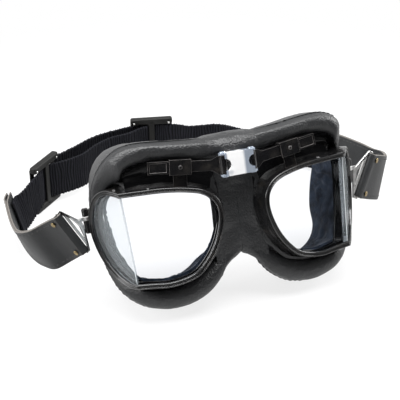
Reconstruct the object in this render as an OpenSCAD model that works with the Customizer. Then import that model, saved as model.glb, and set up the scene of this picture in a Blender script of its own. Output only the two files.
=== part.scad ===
// Split-lens riding goggles with a leather mask, a hinged bridge and an elastic strap.
// They stand on their cheeks and lean back, with the strap on the table behind them.
// Left and right are as seen from the front. The eye units are modelled upright, then leaned back.

/* [Stance] */
// How far the goggles lean back as they stand on their cheeks, degrees
lean = 20; // [17:1:22]
// Height of the panes' lower corners above the table
stand_h = 29; // [28:0.5:32]
// Middle of the whole outline across, seen from above, from the middle of the bridge
centre_x = 8.7; // [0:0.01:20]
// Middle of the whole outline front to back, from the panes' lower corners
centre_y = 99.04; // [80:0.01:120]

/* [Panes] */
// Height of both panes along the edge where they meet
pane_h = 51; // [46:0.5:56]
// Width of the front pane from that edge to the nose
front_w = 53.7; // [50:0.1:55]
// Width of the side pane from that edge to the temple
side_w = 24.2; // [22:0.1:26]
// Thickness of the glass
glass_t = 2.6; // [2:0.1:3]
// How far the glass reaches in under the rim
glass_bite = 1.6; // [1:0.1:1.8]
// Distance of the edge where the panes meet from the middle, at its lower end
bend_x = 66.5; // [66:0.1:70]
// Angle of the front pane, back from straight across, degrees
front_sweep = 10; // [8:0.5:12]
// Angle of the side pane, back from straight across, degrees
side_sweep = 59; // [56:0.5:62]
// How far the top of an eye unit tips outwards, degrees
cant = 3.4; // [2:0.1:4]

/* [Rims] */
// Width of the rim across, from its sight edge outwards
rim_w = 3; // [2.8:0.1:3.4]
// Height of the rim's ridges in front of the glass
rim_h = 2; // [1.5:0.1:2.6]
// How far the rim reaches back round the cup, from the front of the glass
rim_skirt = 3.5; // [2.8:0.1:4.5]
// Width of the groove between the rim's two ridges
groove_w = 0.8; // [0.5:0.1:1]
// Thickness of the sheet of the rim and the cup
sheet_t = 0.6; // [0.5:0.05:0.7]
// Depth of the cup behind the front of the glass
cup_depth = 9; // [8:0.1:10]
// How far the cup flares out past the rim round the front pane
flare = 1.6; // [1:0.1:1.8]

/* [Mask] */
// Thickness of the face pad at its back edge
pad_t = 9; // [7:0.5:10]
// Thickness of the fleece lining
lining_t = 1.6; // [1:0.1:2]
// Half the width of the soft nose piece
nose_half = 8.7; // [7.5:0.1:8.8]

/* [Bridge] */
// Distance between the two hinge pins
pin_gap = 17.4; // [16:0.1:19]
// Radius of a hinge pin
pin_r = 1.2; // [0.9:0.05:1.5]
// Radius of the knuckle rolled round a hinge pin
knuckle_r = 2.5; // [2.2:0.1:2.8]
// Height of the link between the outer faces of its flanges
link_h = 13.4; // [11:0.1:15]
// Height of the middle of the link above the panes' lower corners
link_z = 60.7; // [59:0.1:63]
// Thickness of the sheet that the link is bent from
link_t = 1.1; // [0.8:0.1:1.4]
// Height of the bridge arms
arm_h = 6.2; // [5:0.1:6.8]
// Thickness of the bridge arms
arm_t = 1.6; // [1.2:0.1:2]
// How far the arms climb towards their tails, degrees
arm_tilt = 5.5; // [4:0.5:7]
// Length of the sleeves along the arms
sleeve_l = 12.6; // [10:0.1:14]
// Wall of the sleeves
sleeve_t = 1.2; // [0.9:0.1:1.5]
// Length of the stamped tail at the end of each arm
tail_l = 12; // [10:0.1:14]
// Height of the stamped tail
tail_h = 7.2; // [6.5:0.1:8]

/* [Strap plates] */
// Radius of the pin on which a strap plate swings
hook_pin_r = 1; // [0.8:0.05:1.2]
// Radius of the knuckles of the side brackets
bracket_r = 2; // [1.8:0.1:2.3]
// Height of the lower knuckle of a side bracket
bracket_low_h = 7; // [5:0.5:7.5]
// Height of the upper knuckle of a side bracket
bracket_high_h = 4; // [3:0.5:5]
// Height of the plate's eye between the two knuckles
eye_h = 2.2; // [1.8:0.1:2.6]
// Height of the middle of the plate's eye on the eye unit
eye_z = 40; // [36:0.5:42]
// Distance from the hinge pin to the middle of the plate's long bar
plate_reach = 11.8; // [11:0.1:14]
// Length of the long bar of a strap plate
plate_l = 31.5; // [30:0.5:34]
// Thickness of a strap plate
plate_t = 1.4; // [1:0.1:1.6]
// Width of the plate's bars
bar_w = 3; // [2.4:0.1:3.4]
// How far the left plate points forward from straight out, degrees
left_swing = 17; // [5:1:30]
// How far the right plate points forward from straight out, degrees
right_swing = -9; // [-20:1:5]
// How far the plates droop in their eyes, degrees
droop = 27.5; // [20:0.5:32]

/* [Strap] */
// Width of the leather tabs
leather_w = 29; // [28:0.5:31]
// Thickness of the leather
leather_t = 2.2; // [1.8:0.1:2.6]
// Width of the elastic
elastic_w = 25; // [24:0.5:26]
// Thickness of the elastic
elastic_t = 1.8; // [1.4:0.1:2]
// Height of a slider, across the strap
slider_h = 35; // [34:0.5:37]
// Length of a slider, along the strap
slider_l = 30; // [28:0.5:32]
// Thickness of a slider, rails and bars together
slider_t = 5; // [4.6:0.1:5.6]
// Width of a slider's end bars and of its middle bar
slider_bar = 4.2; // [3.5:0.1:5]
// Height of a slider's top and bottom rails
slider_rail = 4; // [3.6:0.1:4.4]
// Radius of a slider's corners
slider_round = 2; // [1:0.1:3]
// Radius of the rivets
rivet_r = 1.6; // [1.2:0.1:2]

/* [Fits] */
// Clearance all round a hinge pin
run_fit = 0.05; // [0.02:0.01:0.1]
// Gap between pieces that move past each other
gap = 0.3; // [0.2:0.05:0.5]

/* [Hidden] */
// Reach of the blocks that cut, longer than the goggles
past = 200;
$fn = 40;

leather_black = [0.13, 0.13, 0.14];
enamel_black = [0.05, 0.05, 0.05];
elastic_black = [0.08, 0.08, 0.09];
fleece_navy = [0.10, 0.12, 0.18];
chrome = [0.85, 0.86, 0.88];
slider_grey = [0.16, 0.16, 0.15];
glass_clear = [0.85, 0.90, 0.93, 0.35];
brass = [0.72, 0.58, 0.30];

// Sight edges of the panes, from the top of their shared edge round to its foot,
// as shares of the pane's width and height
front_shape = [[0, 1], [0.22, 0.98], [0.45, 0.957], [0.67, 0.914], [0.857, 0.851], [0.965, 0.753],
  [1, 0.627], [0.976, 0.47], [0.894, 0.275], [0.773, 0.108], [0.615, -0.016], [0.37, -0.055],
  [0.15, -0.022], [0, 0]];
side_shape = [[0, 1], [0.18, 1.026], [0.43, 1.04], [0.7, 0.99], [0.89, 0.882], [1, 0.716],
  [0.977, 0.53], [0.82, 0.324], [0.545, 0.147], [0.23, 0.035], [0, 0]];
shape_steps = 4;

// Curve through points, smooth at each of them
function curve(a, b, c, d, t) =
  0.5 * (2 * b + (c - a) * t + (2 * a - 5 * b + 4 * c - d) * t * t + (3 * b - a - 3 * c + d) * t * t * t);
function open_curve(p, n) = concat(
  [for (i = [0:len(p) - 2], j = [0:n - 1]) curve(
    i == 0 ? 2 * p[0] - p[1] : p[i - 1], p[i], p[i + 1],
    i == len(p) - 2 ? 2 * p[i + 1] - p[i] : p[i + 2], j / n)],
  [p[len(p) - 1]]);
function closed_curve(p, n) = let (m = len(p))
  [for (i = [0:m - 1], j = [0:n - 1]) curve(p[(i + m - 1) % m], p[i], p[(i + 1) % m], p[(i + 2) % m], j / n)];
function between(p, k) = let (i = min(floor(k), len(p) - 2)) p[i] + (p[i + 1] - p[i]) * (k - i);
function unit(v) = v / norm(v);

// Sight edges in millimetres, and the same edges moved outwards by d
front_edge = open_curve([for (p = front_shape) [p[0] * front_w, p[1] * pane_h]], shape_steps);
side_edge = open_curve([for (p = side_shape) [p[0] * side_w, p[1] * pane_h]], shape_steps);
function outset(path, d) = let (last = len(path) - 1)
  [for (i = [0:last]) let (along = path[min(i + 1, last)] - path[max(i - 1, 0)])
    i == 0 ? path[i] + [0, d] : i == last ? path[i] - [0, d]
      : path[i] + d * unit([-along[1], along[0]])];

// A pane's outline moved outwards by d, carried on past the shared edge so that it can be mitred
past_bend = 15;
function outline(path, d) = let (edge = outset(path, d), last = len(edge) - 1)
  concat([[-past_bend, edge[0][1]]], edge, [[-past_bend, edge[last][1]]]);

// From an eye unit's own frame to the upright goggles, and from there to the table
function unit_to_upright(p) =
  [bend_x + p[0] * cos(cant) + p[2] * sin(cant), p[1], p[2] * cos(cant) - p[0] * sin(cant)];
function upright_to_table(p) = [p[0], p[1] * cos(lean) + p[2] * sin(lean),
  p[2] * cos(lean) - p[1] * sin(lean) + stand_h];
function flip(p, side) = [p[0] * side, p[1], p[2]];

module on_table() { translate([-centre_x, -centre_y, 0]) children(); }
module upright() { on_table() translate([0, 0, stand_h]) rotate([-lean, 0, 0]) children(); }
module half(side) { upright() mirror([side < 0 ? 1 : 0, 0, 0]) children(); }
module eye_unit(side) { half(side) translate([bend_x, 0, 0]) rotate([0, cant, 0]) children(); }

// The two panes are cut off square to each other on the plane that halves their angle
miter = (front_sweep + side_sweep) / 2;
module pane_plane(sweep) { rotate([90, 0, sweep]) children(); }
module nose_side_only() {
  intersection() {
    children();
    rotate([0, 0, miter]) translate([-past, -past / 2, -past / 2]) cube([past, past, 1.5 * past]);
  }
}
module temple_side_only() {
  intersection() {
    children();
    rotate([0, 0, miter]) translate([0, -past / 2, -past / 2]) cube([past, past, 1.5 * past]);
  }
}
module front_area(d) { mirror([1, 0]) polygon(outline(front_edge, d)); }
module side_area(d) { polygon(outline(side_edge, d)); }

// A point beside the sight edge, moved out by d and forward by w, on the upright goggles. k counts
// along front_shape from the top of the shared edge, then back up side_shape. Near that edge the
// points lean over to the plane between the panes, so that both sides meet on it
front_last = len(front_shape) - 1;
loop_last = front_last + len(side_shape) - 1;
mitre_run = 12;
function to_mitre(u, w) = u - w * tan((side_sweep - front_sweep) / 2) * max(0, 1 - u / mitre_run);
function rim_point(k, d, w) = k <= front_last
  ? let (p = between(outset(front_edge, d), k * shape_steps), u = to_mitre(p[0], w))
    unit_to_upright([-u * cos(front_sweep) + w * sin(front_sweep),
      -u * sin(front_sweep) - w * cos(front_sweep), p[1]])
  : let (p = between(outset(side_edge, d), (loop_last - k) * shape_steps), u = to_mitre(p[0], w))
    unit_to_upright([u * cos(side_sweep) + w * sin(side_sweep),
      u * sin(side_sweep) - w * cos(side_sweep), p[1]]);

// Closed ring of sections, each a closed loop of as many points. Each patch between two sections is
// split along one diagonal or the other, so that a ring can lie evenly against its neighbour
module ring_of(sections, other_diagonal = false) {
  m = len(sections);
  n = len(sections[0]);
  polyhedron([for (s = sections) each s], [for (i = [0:m - 1], j = [0:n - 1]) let (
      a = i * n + j, b = i * n + (j + 1) % n,
      c = ((i + 1) % m) * n + (j + 1) % n, d = ((i + 1) % m) * n + j)
    each (other_diagonal ? [[a, d, b], [b, d, c]] : [[a, c, b], [a, d, c]])], convexity = 8);
}

// A bezel carries a profile of [d, w] pairs round both panes
rim_places = [for (i = [0:loop_last * shape_steps - 1]) i / shape_steps];

// Rim: a channel bezel with two ridges in front and a skirt back round the cup
ridge_w = (rim_w - groove_w) / 2;
groove_deep = 0.8;
groove_floor = rim_h - groove_deep;
wall_d = glass_bite + 0.2;
skirt_d = rim_w - sheet_t;
seat_t = 1.2;
seat_in = 0.4;
rim_profile = [[0, 0], [0, rim_h], [ridge_w, rim_h], [ridge_w, groove_floor],
  [rim_w - ridge_w, groove_floor], [rim_w - ridge_w, rim_h], [rim_w, rim_h],
  [rim_w, -rim_skirt], [skirt_d, -rim_skirt], [skirt_d, 0]];
module rim(side) {
  color(enamel_black) half(side)
    ring_of([for (k = rim_places) [for (p = rim_profile) rim_point(k, p[0], p[1])]]);
}

// Panes: two flat pieces of glass, butted along the shared edge
module front_lens(side) {
  color(glass_clear) eye_unit(side) nose_side_only() pane_plane(front_sweep)
    translate([0, 0, -glass_t]) linear_extrude(glass_t) front_area(glass_bite);
}
module side_lens(side) {
  color(glass_clear) eye_unit(side) temple_side_only() pane_plane(side_sweep)
    translate([0, 0, -glass_t]) linear_extrude(glass_t) side_area(glass_bite);
}

// Cup: the metal frame inside the rim, with a seat behind the glass and a wall that flares out
// round the front pane
cup_fit = 0.02;
function flare_d(k) = rim_w + flare * (k < front_last ? min(k, front_last - k, 1) : 0);
function cup_profile(k) = [[-seat_in, -glass_t - seat_t], [-seat_in, -glass_t], [wall_d, -glass_t],
  [wall_d, 0], [skirt_d - cup_fit, 0], [skirt_d - cup_fit, -rim_skirt], [rim_w, -rim_skirt],
  [flare_d(k), -cup_depth], [wall_d, -cup_depth], [wall_d, -glass_t - seat_t]];
module eyecup(side) {
  color(enamel_black) half(side)
    ring_of([for (k = rim_places) [for (p = cup_profile(k)) rim_point(k, p[0], p[1])]]);
}

// Mask stations round one eye, from the brow by way of the nose, cheek and temple: [place along
// the rim, outer edge x, outer edge z, depth of the roll's centre, roll radius, back edge, how far
// the back edge lies inside the outer edge]
nose_x = nose_half + gap;
mask_stations = [
  [1.5, 52, 79.5, 4.5, 6, 31, 1], [3.3, 30, 77.5, 1.5, 6, 26, 1], [4.5, 17, 76.5, 1.5, 6.5, 21, 1],
  [5.1, nose_x, 75, 2, 7, 19, 0], [5.5, nose_x, 58, 6, 4, 18, 0], [6, nose_x, 37, 7, 3.5, 17.5, 0],
  [7, nose_x, 20, 7.5, 3.5, 18.5, 0], [8, nose_x + 0.2, 2.5, 6.5, 4, 20, 1.5],
  [9, 13.5, -6.5, 6.5, 5.5, 23, 2.5], [10, 22, -14.5, 7.5, 7, 28, 2], [10.8, 33, -19.5, 9.5, 8, 35, 1],
  [11.6, 47.5, -20.5, 11, 8.5, 38, 0.5], [12.6, 62, -15.5, 12, 8, 41, 1],
  [14, 71.5, -6.5, 16.5, 7, 44, 2], [15.5, 76, 6, 25, 5, 47, 3], [17, 78.5, 22, 31, 4.5, 48, 2],
  [18, 79.5, 38, 32, 4, 48, 1.5], [19.2, 79, 53, 27, 5, 45, 1.5], [20.3, 76.5, 65, 18, 6.5, 41, 1],
  [21.5, 71.5, 74, 9, 8, 36, 1], [22.6, 63.5, 78.5, 6.5, 7.2, 33.5, 1]];
station_steps = 2;
station_count = len(mask_stations);
eye_middle = [45, 26];

// The place along the rim runs on round the loop, so it is smoothed as its lead over a steady pace
pace = loop_last / station_count;
stations = let (even = closed_curve([for (i = [0:station_count - 1]) let (s = mask_stations[i])
    [s[0] - pace * i, s[1], s[2], s[3], s[4], s[5], s[6]]], station_steps))
  [for (i = [0:len(even) - 1]) let (s = even[i], k = s[0] + pace * i / station_steps)
    [k >= loop_last ? k - loop_last : k, max(s[1], nose_x), s[2], s[3], s[4], s[5], s[6]]];
roll_angles = [-165, -125, -90, -55, -20, 15];
mask_front_w = -cup_depth - gap;
front_d = rim_w - 0.2;
flange_clear = flare + 1.6;
// A section: from the cup's back out past its flange, over the roll and back round the face pad
function section(s) = let (
    edge = [s[1], s[2]],
    out = unit(edge - eye_middle),
    front = rim_point(s[0], front_d, mask_front_w),
    inner = rim_point(s[0], wall_d, mask_front_w),
    rim_at = [front[0], front[2]],
    reach = norm(edge - rim_at),
    hollow = max(flange_clear + 0.4, 0.7 * (reach - 2 * s[4])),
    profile = concat([[flange_clear, front[1] + 0.3], [hollow, front[1] + 0.8]],
      [for (i = [0:len(roll_angles) - 1]) let (a = roll_angles[i])
        [max(reach - s[4] * (1 - cos(a)), flange_clear + 0.05 * i), s[3] + s[4] * sin(a)]]),
    pad = [[s[6] + pad_t * 0.15, s[5] - pad_t * 0.35], [s[6] + pad_t * 0.55, s[5]],
      [s[6] + pad_t, s[5] - 1.5]])
  concat([inner, front],
    [for (i = [0:len(profile) - 1]) let (p = profile[i], most = 1 - 0.04 * (len(profile) - 1 - i),
        q = rim_at + (edge - rim_at) * min(p[0] / reach, most)) [q[0], p[1], q[1]]],
    [for (p = pad) let (q = edge - out * p[0]) [q[0], p[1], q[1]]]);

// Solid from one end section to the other. An end is a strip between the first half of the section's
// points and the second half taken backwards
function end_strip(n) = [for (j = [0:ceil(n / 2) - 2])
  each (n - 2 - j > j + 1 ? [[j, j + 1, n - 1 - j], [j + 1, n - 2 - j, n - 1 - j]]
    : [[j, j + 1, n - 1 - j]])];
module run_of(sections) {
  m = len(sections);
  n = len(sections[0]);
  polyhedron([for (s = sections) each s], concat(
    [for (t = end_strip(n)) [t[2], t[1], t[0]]],
    [for (i = [0:m - 2], j = [0:n - 1]) let (
        a = i * n + j, b = i * n + (j + 1) % n, c = (i + 1) * n + (j + 1) % n, d = (i + 1) * n + j)
      each [[a, b, c], [a, c, d]]],
    [for (t = end_strip(n)) [for (j = t) (m - 1) * n + j]]), convexity = 8);
}

// The cheeks are cut flat where the goggles stand on them
module above_table() {
  difference() {
    children();
    translate([-past, -past, -past / 4]) cube([2 * past, 2 * past, past / 4]);
  }
}
module mask(side) {
  color(leather_black) above_table() half(side) ring_of([for (s = stations) section(s)]);
}

// Lining: fleece on the inside of the mask, from the cup to the back edge
lining_gap = 0.8;
function lining_section(s) = let (
    out = unit([s[1], s[2]] - eye_middle),
    outer = wall_d - lining_gap,
    edge = [s[1], s[2]] - out * (s[6] + pad_t + lining_gap),
    deep = edge - out * lining_t,
    y = s[5] - 1.5)
  [[deep[0], y - 0.3, deep[1]], rim_point(s[0], outer - lining_t, mask_front_w),
   rim_point(s[0], outer, mask_front_w), [edge[0], y, edge[1]]];
module lining(side) {
  color(fleece_navy) half(side) ring_of([for (s = stations) lining_section(s)], true);
}

// Nose piece: the soft leather between the two halves, a side profile [depth, height] swept
// across, drawn in and lifted to an arch below
nose_profile = [[3, 7], [0, 14], [-0.5, 30], [0, 44], [-1.5, 55], [-5.5, 62], [-7.3, 69], [-5, 74],
  [1, 77], [12, 76.5], [19, 72], [20, 64], [17.5, 50], [16, 30], [17, 16], [15, 9], [9, 6]];
nose_steps = 6;
arch_drop = 3.6;
function nose_section(x) = let (t = abs(x) / nose_half)
  [for (p = nose_profile) [x, p[0] + 0.8 * t * t, p[1] - (p[1] < 20 ? arch_drop * t * t : 0)]];
module mask_nose() {
  color(leather_black) upright()
    run_of([for (i = [-nose_steps:nose_steps]) nose_section(i / nose_steps * nose_half)]);
}

// Bridge: the link is a channel of bright sheet with an ear above and below each pin
pin_x = pin_gap / 2;
arm_plane = -(bend_x - pin_x) * tan(front_sweep) + 0.4;
ear_r = knuckle_r + 0.1;
web_y = -knuckle_r - gap - link_t;
notch_r = 3.4;
module at_bridge() { upright() translate([0, arm_plane, link_z]) children(); }
module bridge_link() {
  color(chrome) at_bridge() {
    for (z = [-link_h / 2, link_h / 2 - link_t]) translate([0, 0, z]) linear_extrude(link_t)
      difference() {
        union() {
          translate([-pin_x, web_y]) square([pin_gap, ear_r - web_y]);
          for (s = [-1, 1]) translate([s * pin_x, 0]) circle(r = ear_r);
        }
        for (s = [-1, 1]) translate([s * pin_x, 0]) circle(r = pin_r + run_fit);
      }
    difference() {
      translate([-pin_x, web_y, -link_h / 2 + link_t / 2]) cube([pin_gap, link_t, link_h - link_t]);
      for (s = [-1, 1]) translate([s * pin_x, web_y + link_t + 1, 0]) rotate([90, 0, 0])
        cylinder(r = notch_r, h = link_t + 2);
    }
  }
}
pin_head_r = pin_r + 0.7;
pin_head_h = 0.7;
module bridge_pin(side) {
  color(chrome) at_bridge() translate([side * pin_x, 0, -link_h / 2]) {
    cylinder(r = pin_r, h = link_h);
    translate([0, 0, link_h]) cylinder(r1 = pin_head_r, r2 = pin_head_r - 0.3, h = pin_head_h, $fn = 32);
    translate([0, 0, -pin_head_h]) cylinder(r = pin_head_r, h = pin_head_h);
  }
}

// Arms: flat bars rolled round the pins, with a stamped tail past the sleeve. Along each arm the
// length is counted from its pin
sleeve_from = 19;
tail_from = sleeve_from + sleeve_l + 0.6;
knuckle_h = link_h - 2 * link_t - 2 * gap;
flare_from = 3.5;
flare_to = 7;
module from_pin(side) {
  half(side) translate([pin_x, arm_plane, link_z]) rotate([0, 0, front_sweep]) children();
}
function climb(s) = s * tan(arm_tilt);
module bridge_arm(side) {
  stamp_depth = 0.3;
  color(enamel_black) from_pin(side) difference() {
    union() {
      translate([0, 0, -knuckle_h / 2]) cylinder(r = knuckle_r, h = knuckle_h);
      rotate([90, 0, 0]) translate([0, 0, -arm_t / 2]) linear_extrude(arm_t) polygon([
        [0, -knuckle_h / 2], [flare_from, -knuckle_h / 2], [flare_to, climb(flare_to) - arm_h / 2],
        [tail_from, climb(tail_from) - arm_h / 2], [tail_from, climb(tail_from) + arm_h / 2],
        [flare_to, climb(flare_to) + arm_h / 2], [flare_from, knuckle_h / 2], [0, knuckle_h / 2]]);
      rotate([0, -arm_tilt, 0]) translate([tail_from / cos(arm_tilt) - 0.4, -arm_t / 2, -tail_h / 2])
        cube([tail_l, arm_t, tail_h]);
    }
    translate([0, 0, -knuckle_h]) cylinder(r = pin_r + run_fit, h = 2 * knuckle_h);
    rotate([0, -arm_tilt, 0])
      translate([tail_from / cos(arm_tilt) + 0.8, -arm_t / 2 - 1, -tail_h / 2 + 1])
        cube([tail_l - 2.4, 1 + stamp_depth, tail_h - 2]);
  }
}

// Sleeves: flat tubes round the arms, with a foot standing on top of the rim and a stop bump in
// front
foot_w = 8;
foot_drop = 15;
module rim_block(side) {
  eye_unit(side) pane_plane(front_sweep) translate([0, 0, -20]) linear_extrude(40) front_area(rim_w);
}
module sleeve(side) {
  slide = 0.1;
  h = arm_h + 2 * (sleeve_t + slide);
  t = arm_t + 2 * (sleeve_t + slide);
  color(enamel_black) difference() {
    from_pin(side) rotate([0, -arm_tilt, 0]) translate([sleeve_from, 0, 0]) {
      difference() {
        translate([0, -t / 2, -h / 2]) cube([sleeve_l, t, h]);
        translate([-1, -arm_t / 2 - slide, -arm_h / 2 - slide])
          cube([sleeve_l + 2, arm_t + 2 * slide, arm_h + 2 * slide]);
      }
      translate([(sleeve_l - foot_w) / 2, t / 2 - sleeve_t, -foot_drop])
        cube([foot_w, sleeve_t, foot_drop - h / 2 + 1]);
      translate([sleeve_l / 2, -t / 2 + 0.3, 0]) rotate([90, 0, 0])
        cylinder(r1 = 1.3, r2 = 0.8, h = 0.9, $fn = 32);
    }
    rim_block(side);
  }
}

// Side brackets: two knuckles on a block that follows the temple side of the rim. Their pin stands
// where hook_u and hook_w say, along the side pane and out from it
hook_u = side_w + rim_w + 2.4;
hook_w = 0.5;
low_z = eye_z - eye_h / 2 - gap - bracket_low_h;
high_z = eye_z + eye_h / 2 + gap;
hook_top = high_z + bracket_high_h;
module at_hook(side) {
  eye_unit(side) rotate([0, 0, side_sweep]) translate([hook_u, -hook_w, 0]) children();
}
block_back = 4.5;
block_front = 0.6;
module side_bracket(side) {
  color(enamel_black) {
    at_hook(side) difference() {
      for (part = [[low_z, bracket_low_h], [high_z, bracket_high_h]])
        translate([0, 0, part[0]]) cylinder(r = bracket_r, h = part[1]);
      translate([0, 0, low_z - 1]) cylinder(r = hook_pin_r + run_fit, h = hook_top - low_z + 2);
    }
    difference() {
      eye_unit(side) pane_plane(side_sweep) translate([0, 0, -block_back])
        linear_extrude(block_back + block_front) difference() {
          translate([side_w - 3, low_z]) square([hook_u - side_w + 3 - hook_pin_r - 0.4, hook_top - low_z]);
          side_area(rim_w);
        }
      at_hook(side) translate([0, 0, eye_z - eye_h / 2 - gap]) cylinder(r = eye_r + gap, h = eye_h + 2 * gap);
    }
  }
}
module bracket_pin(side) {
  head = 0.6;
  color(enamel_black) at_hook(side) {
    translate([0, 0, low_z]) cylinder(r = hook_pin_r, h = hook_top - low_z);
    translate([0, 0, hook_top]) cylinder(r = hook_pin_r + 0.6, h = head);
    translate([0, 0, low_z - head]) cylinder(r = hook_pin_r + 0.6, h = head);
  }
}

// Strap plates: a bright triangular frame. Its eye turns on the bracket's pin, its long bar
// carries the leather, and the frame hangs down in its loose eye by the droop
function swing(side) = side < 0 ? left_swing : right_swing;
eye_r = bracket_r;
tongue_l = 4.9;
module plate_frame(side) {
  at_hook(side) translate([0, 0, eye_z]) rotate([0, 0, -swing(side) - side_sweep]) children();
}
module plate_outline() {
  far = plate_reach + bar_w / 2;
  half_bar = plate_l / 2;
  polygon([[tongue_l - 1, -1.6], [far - bar_w, -half_bar], [far, -half_bar],
    [far, half_bar], [far - bar_w, half_bar], [tongue_l - 1, 1.6]]);
}
module strap_plate(side) {
  color(chrome) plate_frame(side) {
    difference() {
      union() {
        translate([0, 0, -eye_h / 2]) cylinder(r = eye_r, h = eye_h);
        translate([0, -plate_t / 2, -eye_h / 2]) cube([tongue_l, plate_t, eye_h]);
      }
      translate([0, 0, -eye_h]) cylinder(r = hook_pin_r + run_fit, h = 2 * eye_h);
    }
    rotate([0, droop, 0]) rotate([90, 0, 0]) translate([0, 0, -plate_t / 2])
      linear_extrude(plate_t) difference() {
        plate_outline();
        polygon([[tongue_l + 1.6, -0.9], [plate_reach - bar_w * 1.1, -plate_l / 2 + 6],
          [plate_reach - bar_w * 1.1, plate_l / 2 - 6], [tongue_l + 1.6, 0.9]]);
        translate([plate_reach - bar_w / 2 - 0.3, -plate_l / 2 + 1.6])
          square([1.6, plate_l - 3.2]);
      }
  }
}
// Point of the long bar at height s along it, out by r past the plate, on the table
function bar_point(side, s, r) = let (
    a = plate_reach + r,
    across = a * cos(droop) + s * sin(droop),
    up = s * cos(droop) - a * sin(droop),
    turn = -swing(side),
    foot = [hook_u * cos(side_sweep) + hook_w * sin(side_sweep),
      hook_u * sin(side_sweep) - hook_w * cos(side_sweep), 0])
  upright_to_table(flip(unit_to_upright(foot
    + [across * cos(turn), across * sin(turn), eye_z + up]), side));

// Bands of the strap. Each row is the lower and the upper edge of the band, [x, y, z, x, y, z];
// the width is counted up from the lower edge and the thickness square to the band
function edges(row) = [[row[0], row[1], row[2]], [row[3], row[4], row[5]]];
function fit_width(pair, w) = [pair[0], pair[0] + unit(pair[1] - pair[0]) * w];
function band_section(rows, i, w, t) = let (
    pair = fit_width(rows[i], w),
    next = rows[min(i + 1, len(rows) - 1)],
    last = rows[max(i - 1, 0)],
    along = (next[0] + next[1]) - (last[0] + last[1]),
    n = unit(cross(along, pair[1] - pair[0])) * t / 2)
  [pair[0] + n, pair[1] + n, pair[1] - n, pair[0] - n];
module band(rows, steps, w, t) {
  lows = open_curve([for (r = rows) r[0]], steps);
  highs = open_curve([for (r = rows) r[1]], steps);
  smooth = [for (i = [0:len(lows) - 1]) [lows[i], highs[i]]];
  run_of([for (i = [0:len(smooth) - 1]) band_section(smooth, i, w, t)]);
}
band_steps = 3;
leather_rows_left = [[-93.5, 39.3, 29.5, -108.7, 47.7, 52], [-101.8, 45.8, 22, -115.6, 54.5, 46],
  [-104.9, 62.6, 15, -119.4, 67.4, 40], [-105.8, 81.7, 8, -118.3, 86.7, 34],
  [-106.1, 104, 2.5, -115.3, 110.8, 29], [-106, 124.3, 1, -112.6, 129, 28.5],
  [-103, 133, 1, -109, 138, 29]];
leather_rows_right = [[104, 41.5, 29, 115.5, 50, 55], [114.9, 54, 21, 125.7, 64, 47.5],
  [124.5, 77.5, 12, 132.9, 82.5, 39], [129.5, 98, 4, 136.5, 102.4, 32],
  [129.8, 114, 1.2, 135, 118, 29.5], [123.5, 132, 1, 126.5, 136, 29.5],
  [116.5, 141, 1, 118.5, 144.5, 29.5]];
function leather_rows(side) = side < 0 ? leather_rows_left : leather_rows_right;
bar_clear = bar_w / 2 + leather_t / 2 + gap;
module leather_tab(side) {
  start = [bar_point(side, -leather_w / 2, bar_clear), bar_point(side, leather_w / 2, bar_clear)];
  color(leather_black) on_table()
    band(concat([start], [for (r = leather_rows(side)) edges(r)]), band_steps, leather_w, leather_t);
}

// Rivets: two through each leather tab, near its plate
module tab_rivets(side) {
  near = [bar_point(side, -leather_w / 2, bar_clear), bar_point(side, leather_w / 2, bar_clear)];
  next = edges(leather_rows(side)[0]);
  low = near[0] * 0.75 + next[0] * 0.25;
  up = unit((near[1] - near[0]) * 0.75 + (next[1] - next[0]) * 0.25);
  along = unit(next[0] + next[1] - near[0] - near[1]);
  n = unit(cross(along, up)) * (side < 0 ? -1 : 1);
  color(brass) on_table() for (s = [0.12, 0.88])
    translate(low + up * s * leather_w + n * (leather_t / 2 + gap))
      rotate([0, acos(n[2]), atan2(n[1], n[0])]) cylinder(r = rivet_r, h = 0.7);
}

// Where the sliders sit on the table: [x, y, turn], and a point on one, along it by s and back by d
slider_left_at = [-78.2, 164, 44];
slider_right_at = [10.3, 200, -14];
strap_z = slider_rail + 1;
function upright_row(p, z = strap_z) = [p[0], p[1], z, p[0], p[1], z + elastic_w];
function strand(at, s, d) = upright_row([at[0] + s * cos(at[2]) - d * sin(at[2]),
  at[1] + s * sin(at[2]) + d * cos(at[2])]);

// Elastic: ribbed bands from the leather to the sliders, doubled between the two sliders. Each
// passes behind the middle bar of one slider and stops at a bar of the other, where it is sewn round
past_bar = slider_bar / 2 + 0.5;
lap = elastic_t + gap + 0.1;
elastic_left_rows = [[-103.2, 123.9, 2, -109.2, 128.3, 26.5], [-100.3, 132.3, 2, -105.4, 136.6, 27],
  [-96.6, 137.5, 2, -100.6, 139.5, 27], [-91, 145.1, 3.5, -93.4, 146, 28.5],
  [-84.5, 153.5, 5.2, -85, 154.5, 30.2],
  strand(slider_left_at, -past_bar, 0), strand(slider_left_at, past_bar, 0),
  upright_row([-69.5, 166.6]), upright_row([-59.3, 168.8]), upright_row([-48, 173.5]),
  upright_row([-36, 183.5]), upright_row([-23, 190.5]), upright_row([-10, 192.5]),
  strand(slider_right_at, -8, -4.6), strand(slider_right_at, -past_bar, -lap)];
elastic_right_rows = [[118.3, 133.7, 2, 120.8, 137.5, 27], [114.1, 139.1, 2, 116.1, 142.6, 27],
  [106, 147.5, 2, 107.5, 150, 27], [95, 156, 2, 96, 157.5, 27], [83, 162, 3, 83.5, 163, 28],
  [70, 169, 4, 71, 168, 29], upright_row([56.5, 181.5]), upright_row([43, 185.5]),
  upright_row([34.5, 187.5]), strand(slider_right_at, 20, -3), strand(slider_right_at, 12, -0.6),
  strand(slider_right_at, past_bar, 0), strand(slider_right_at, -past_bar, 0),
  strand(slider_right_at, -13, -0.6), upright_row([-21, 200]), upright_row([-35.4, 195.5]),
  upright_row([-50.8, 186]), upright_row([-61, 180.3]),
  strand(slider_left_at, slider_l / 2 + gap + 0.3, lap + 0.2)];
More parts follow.
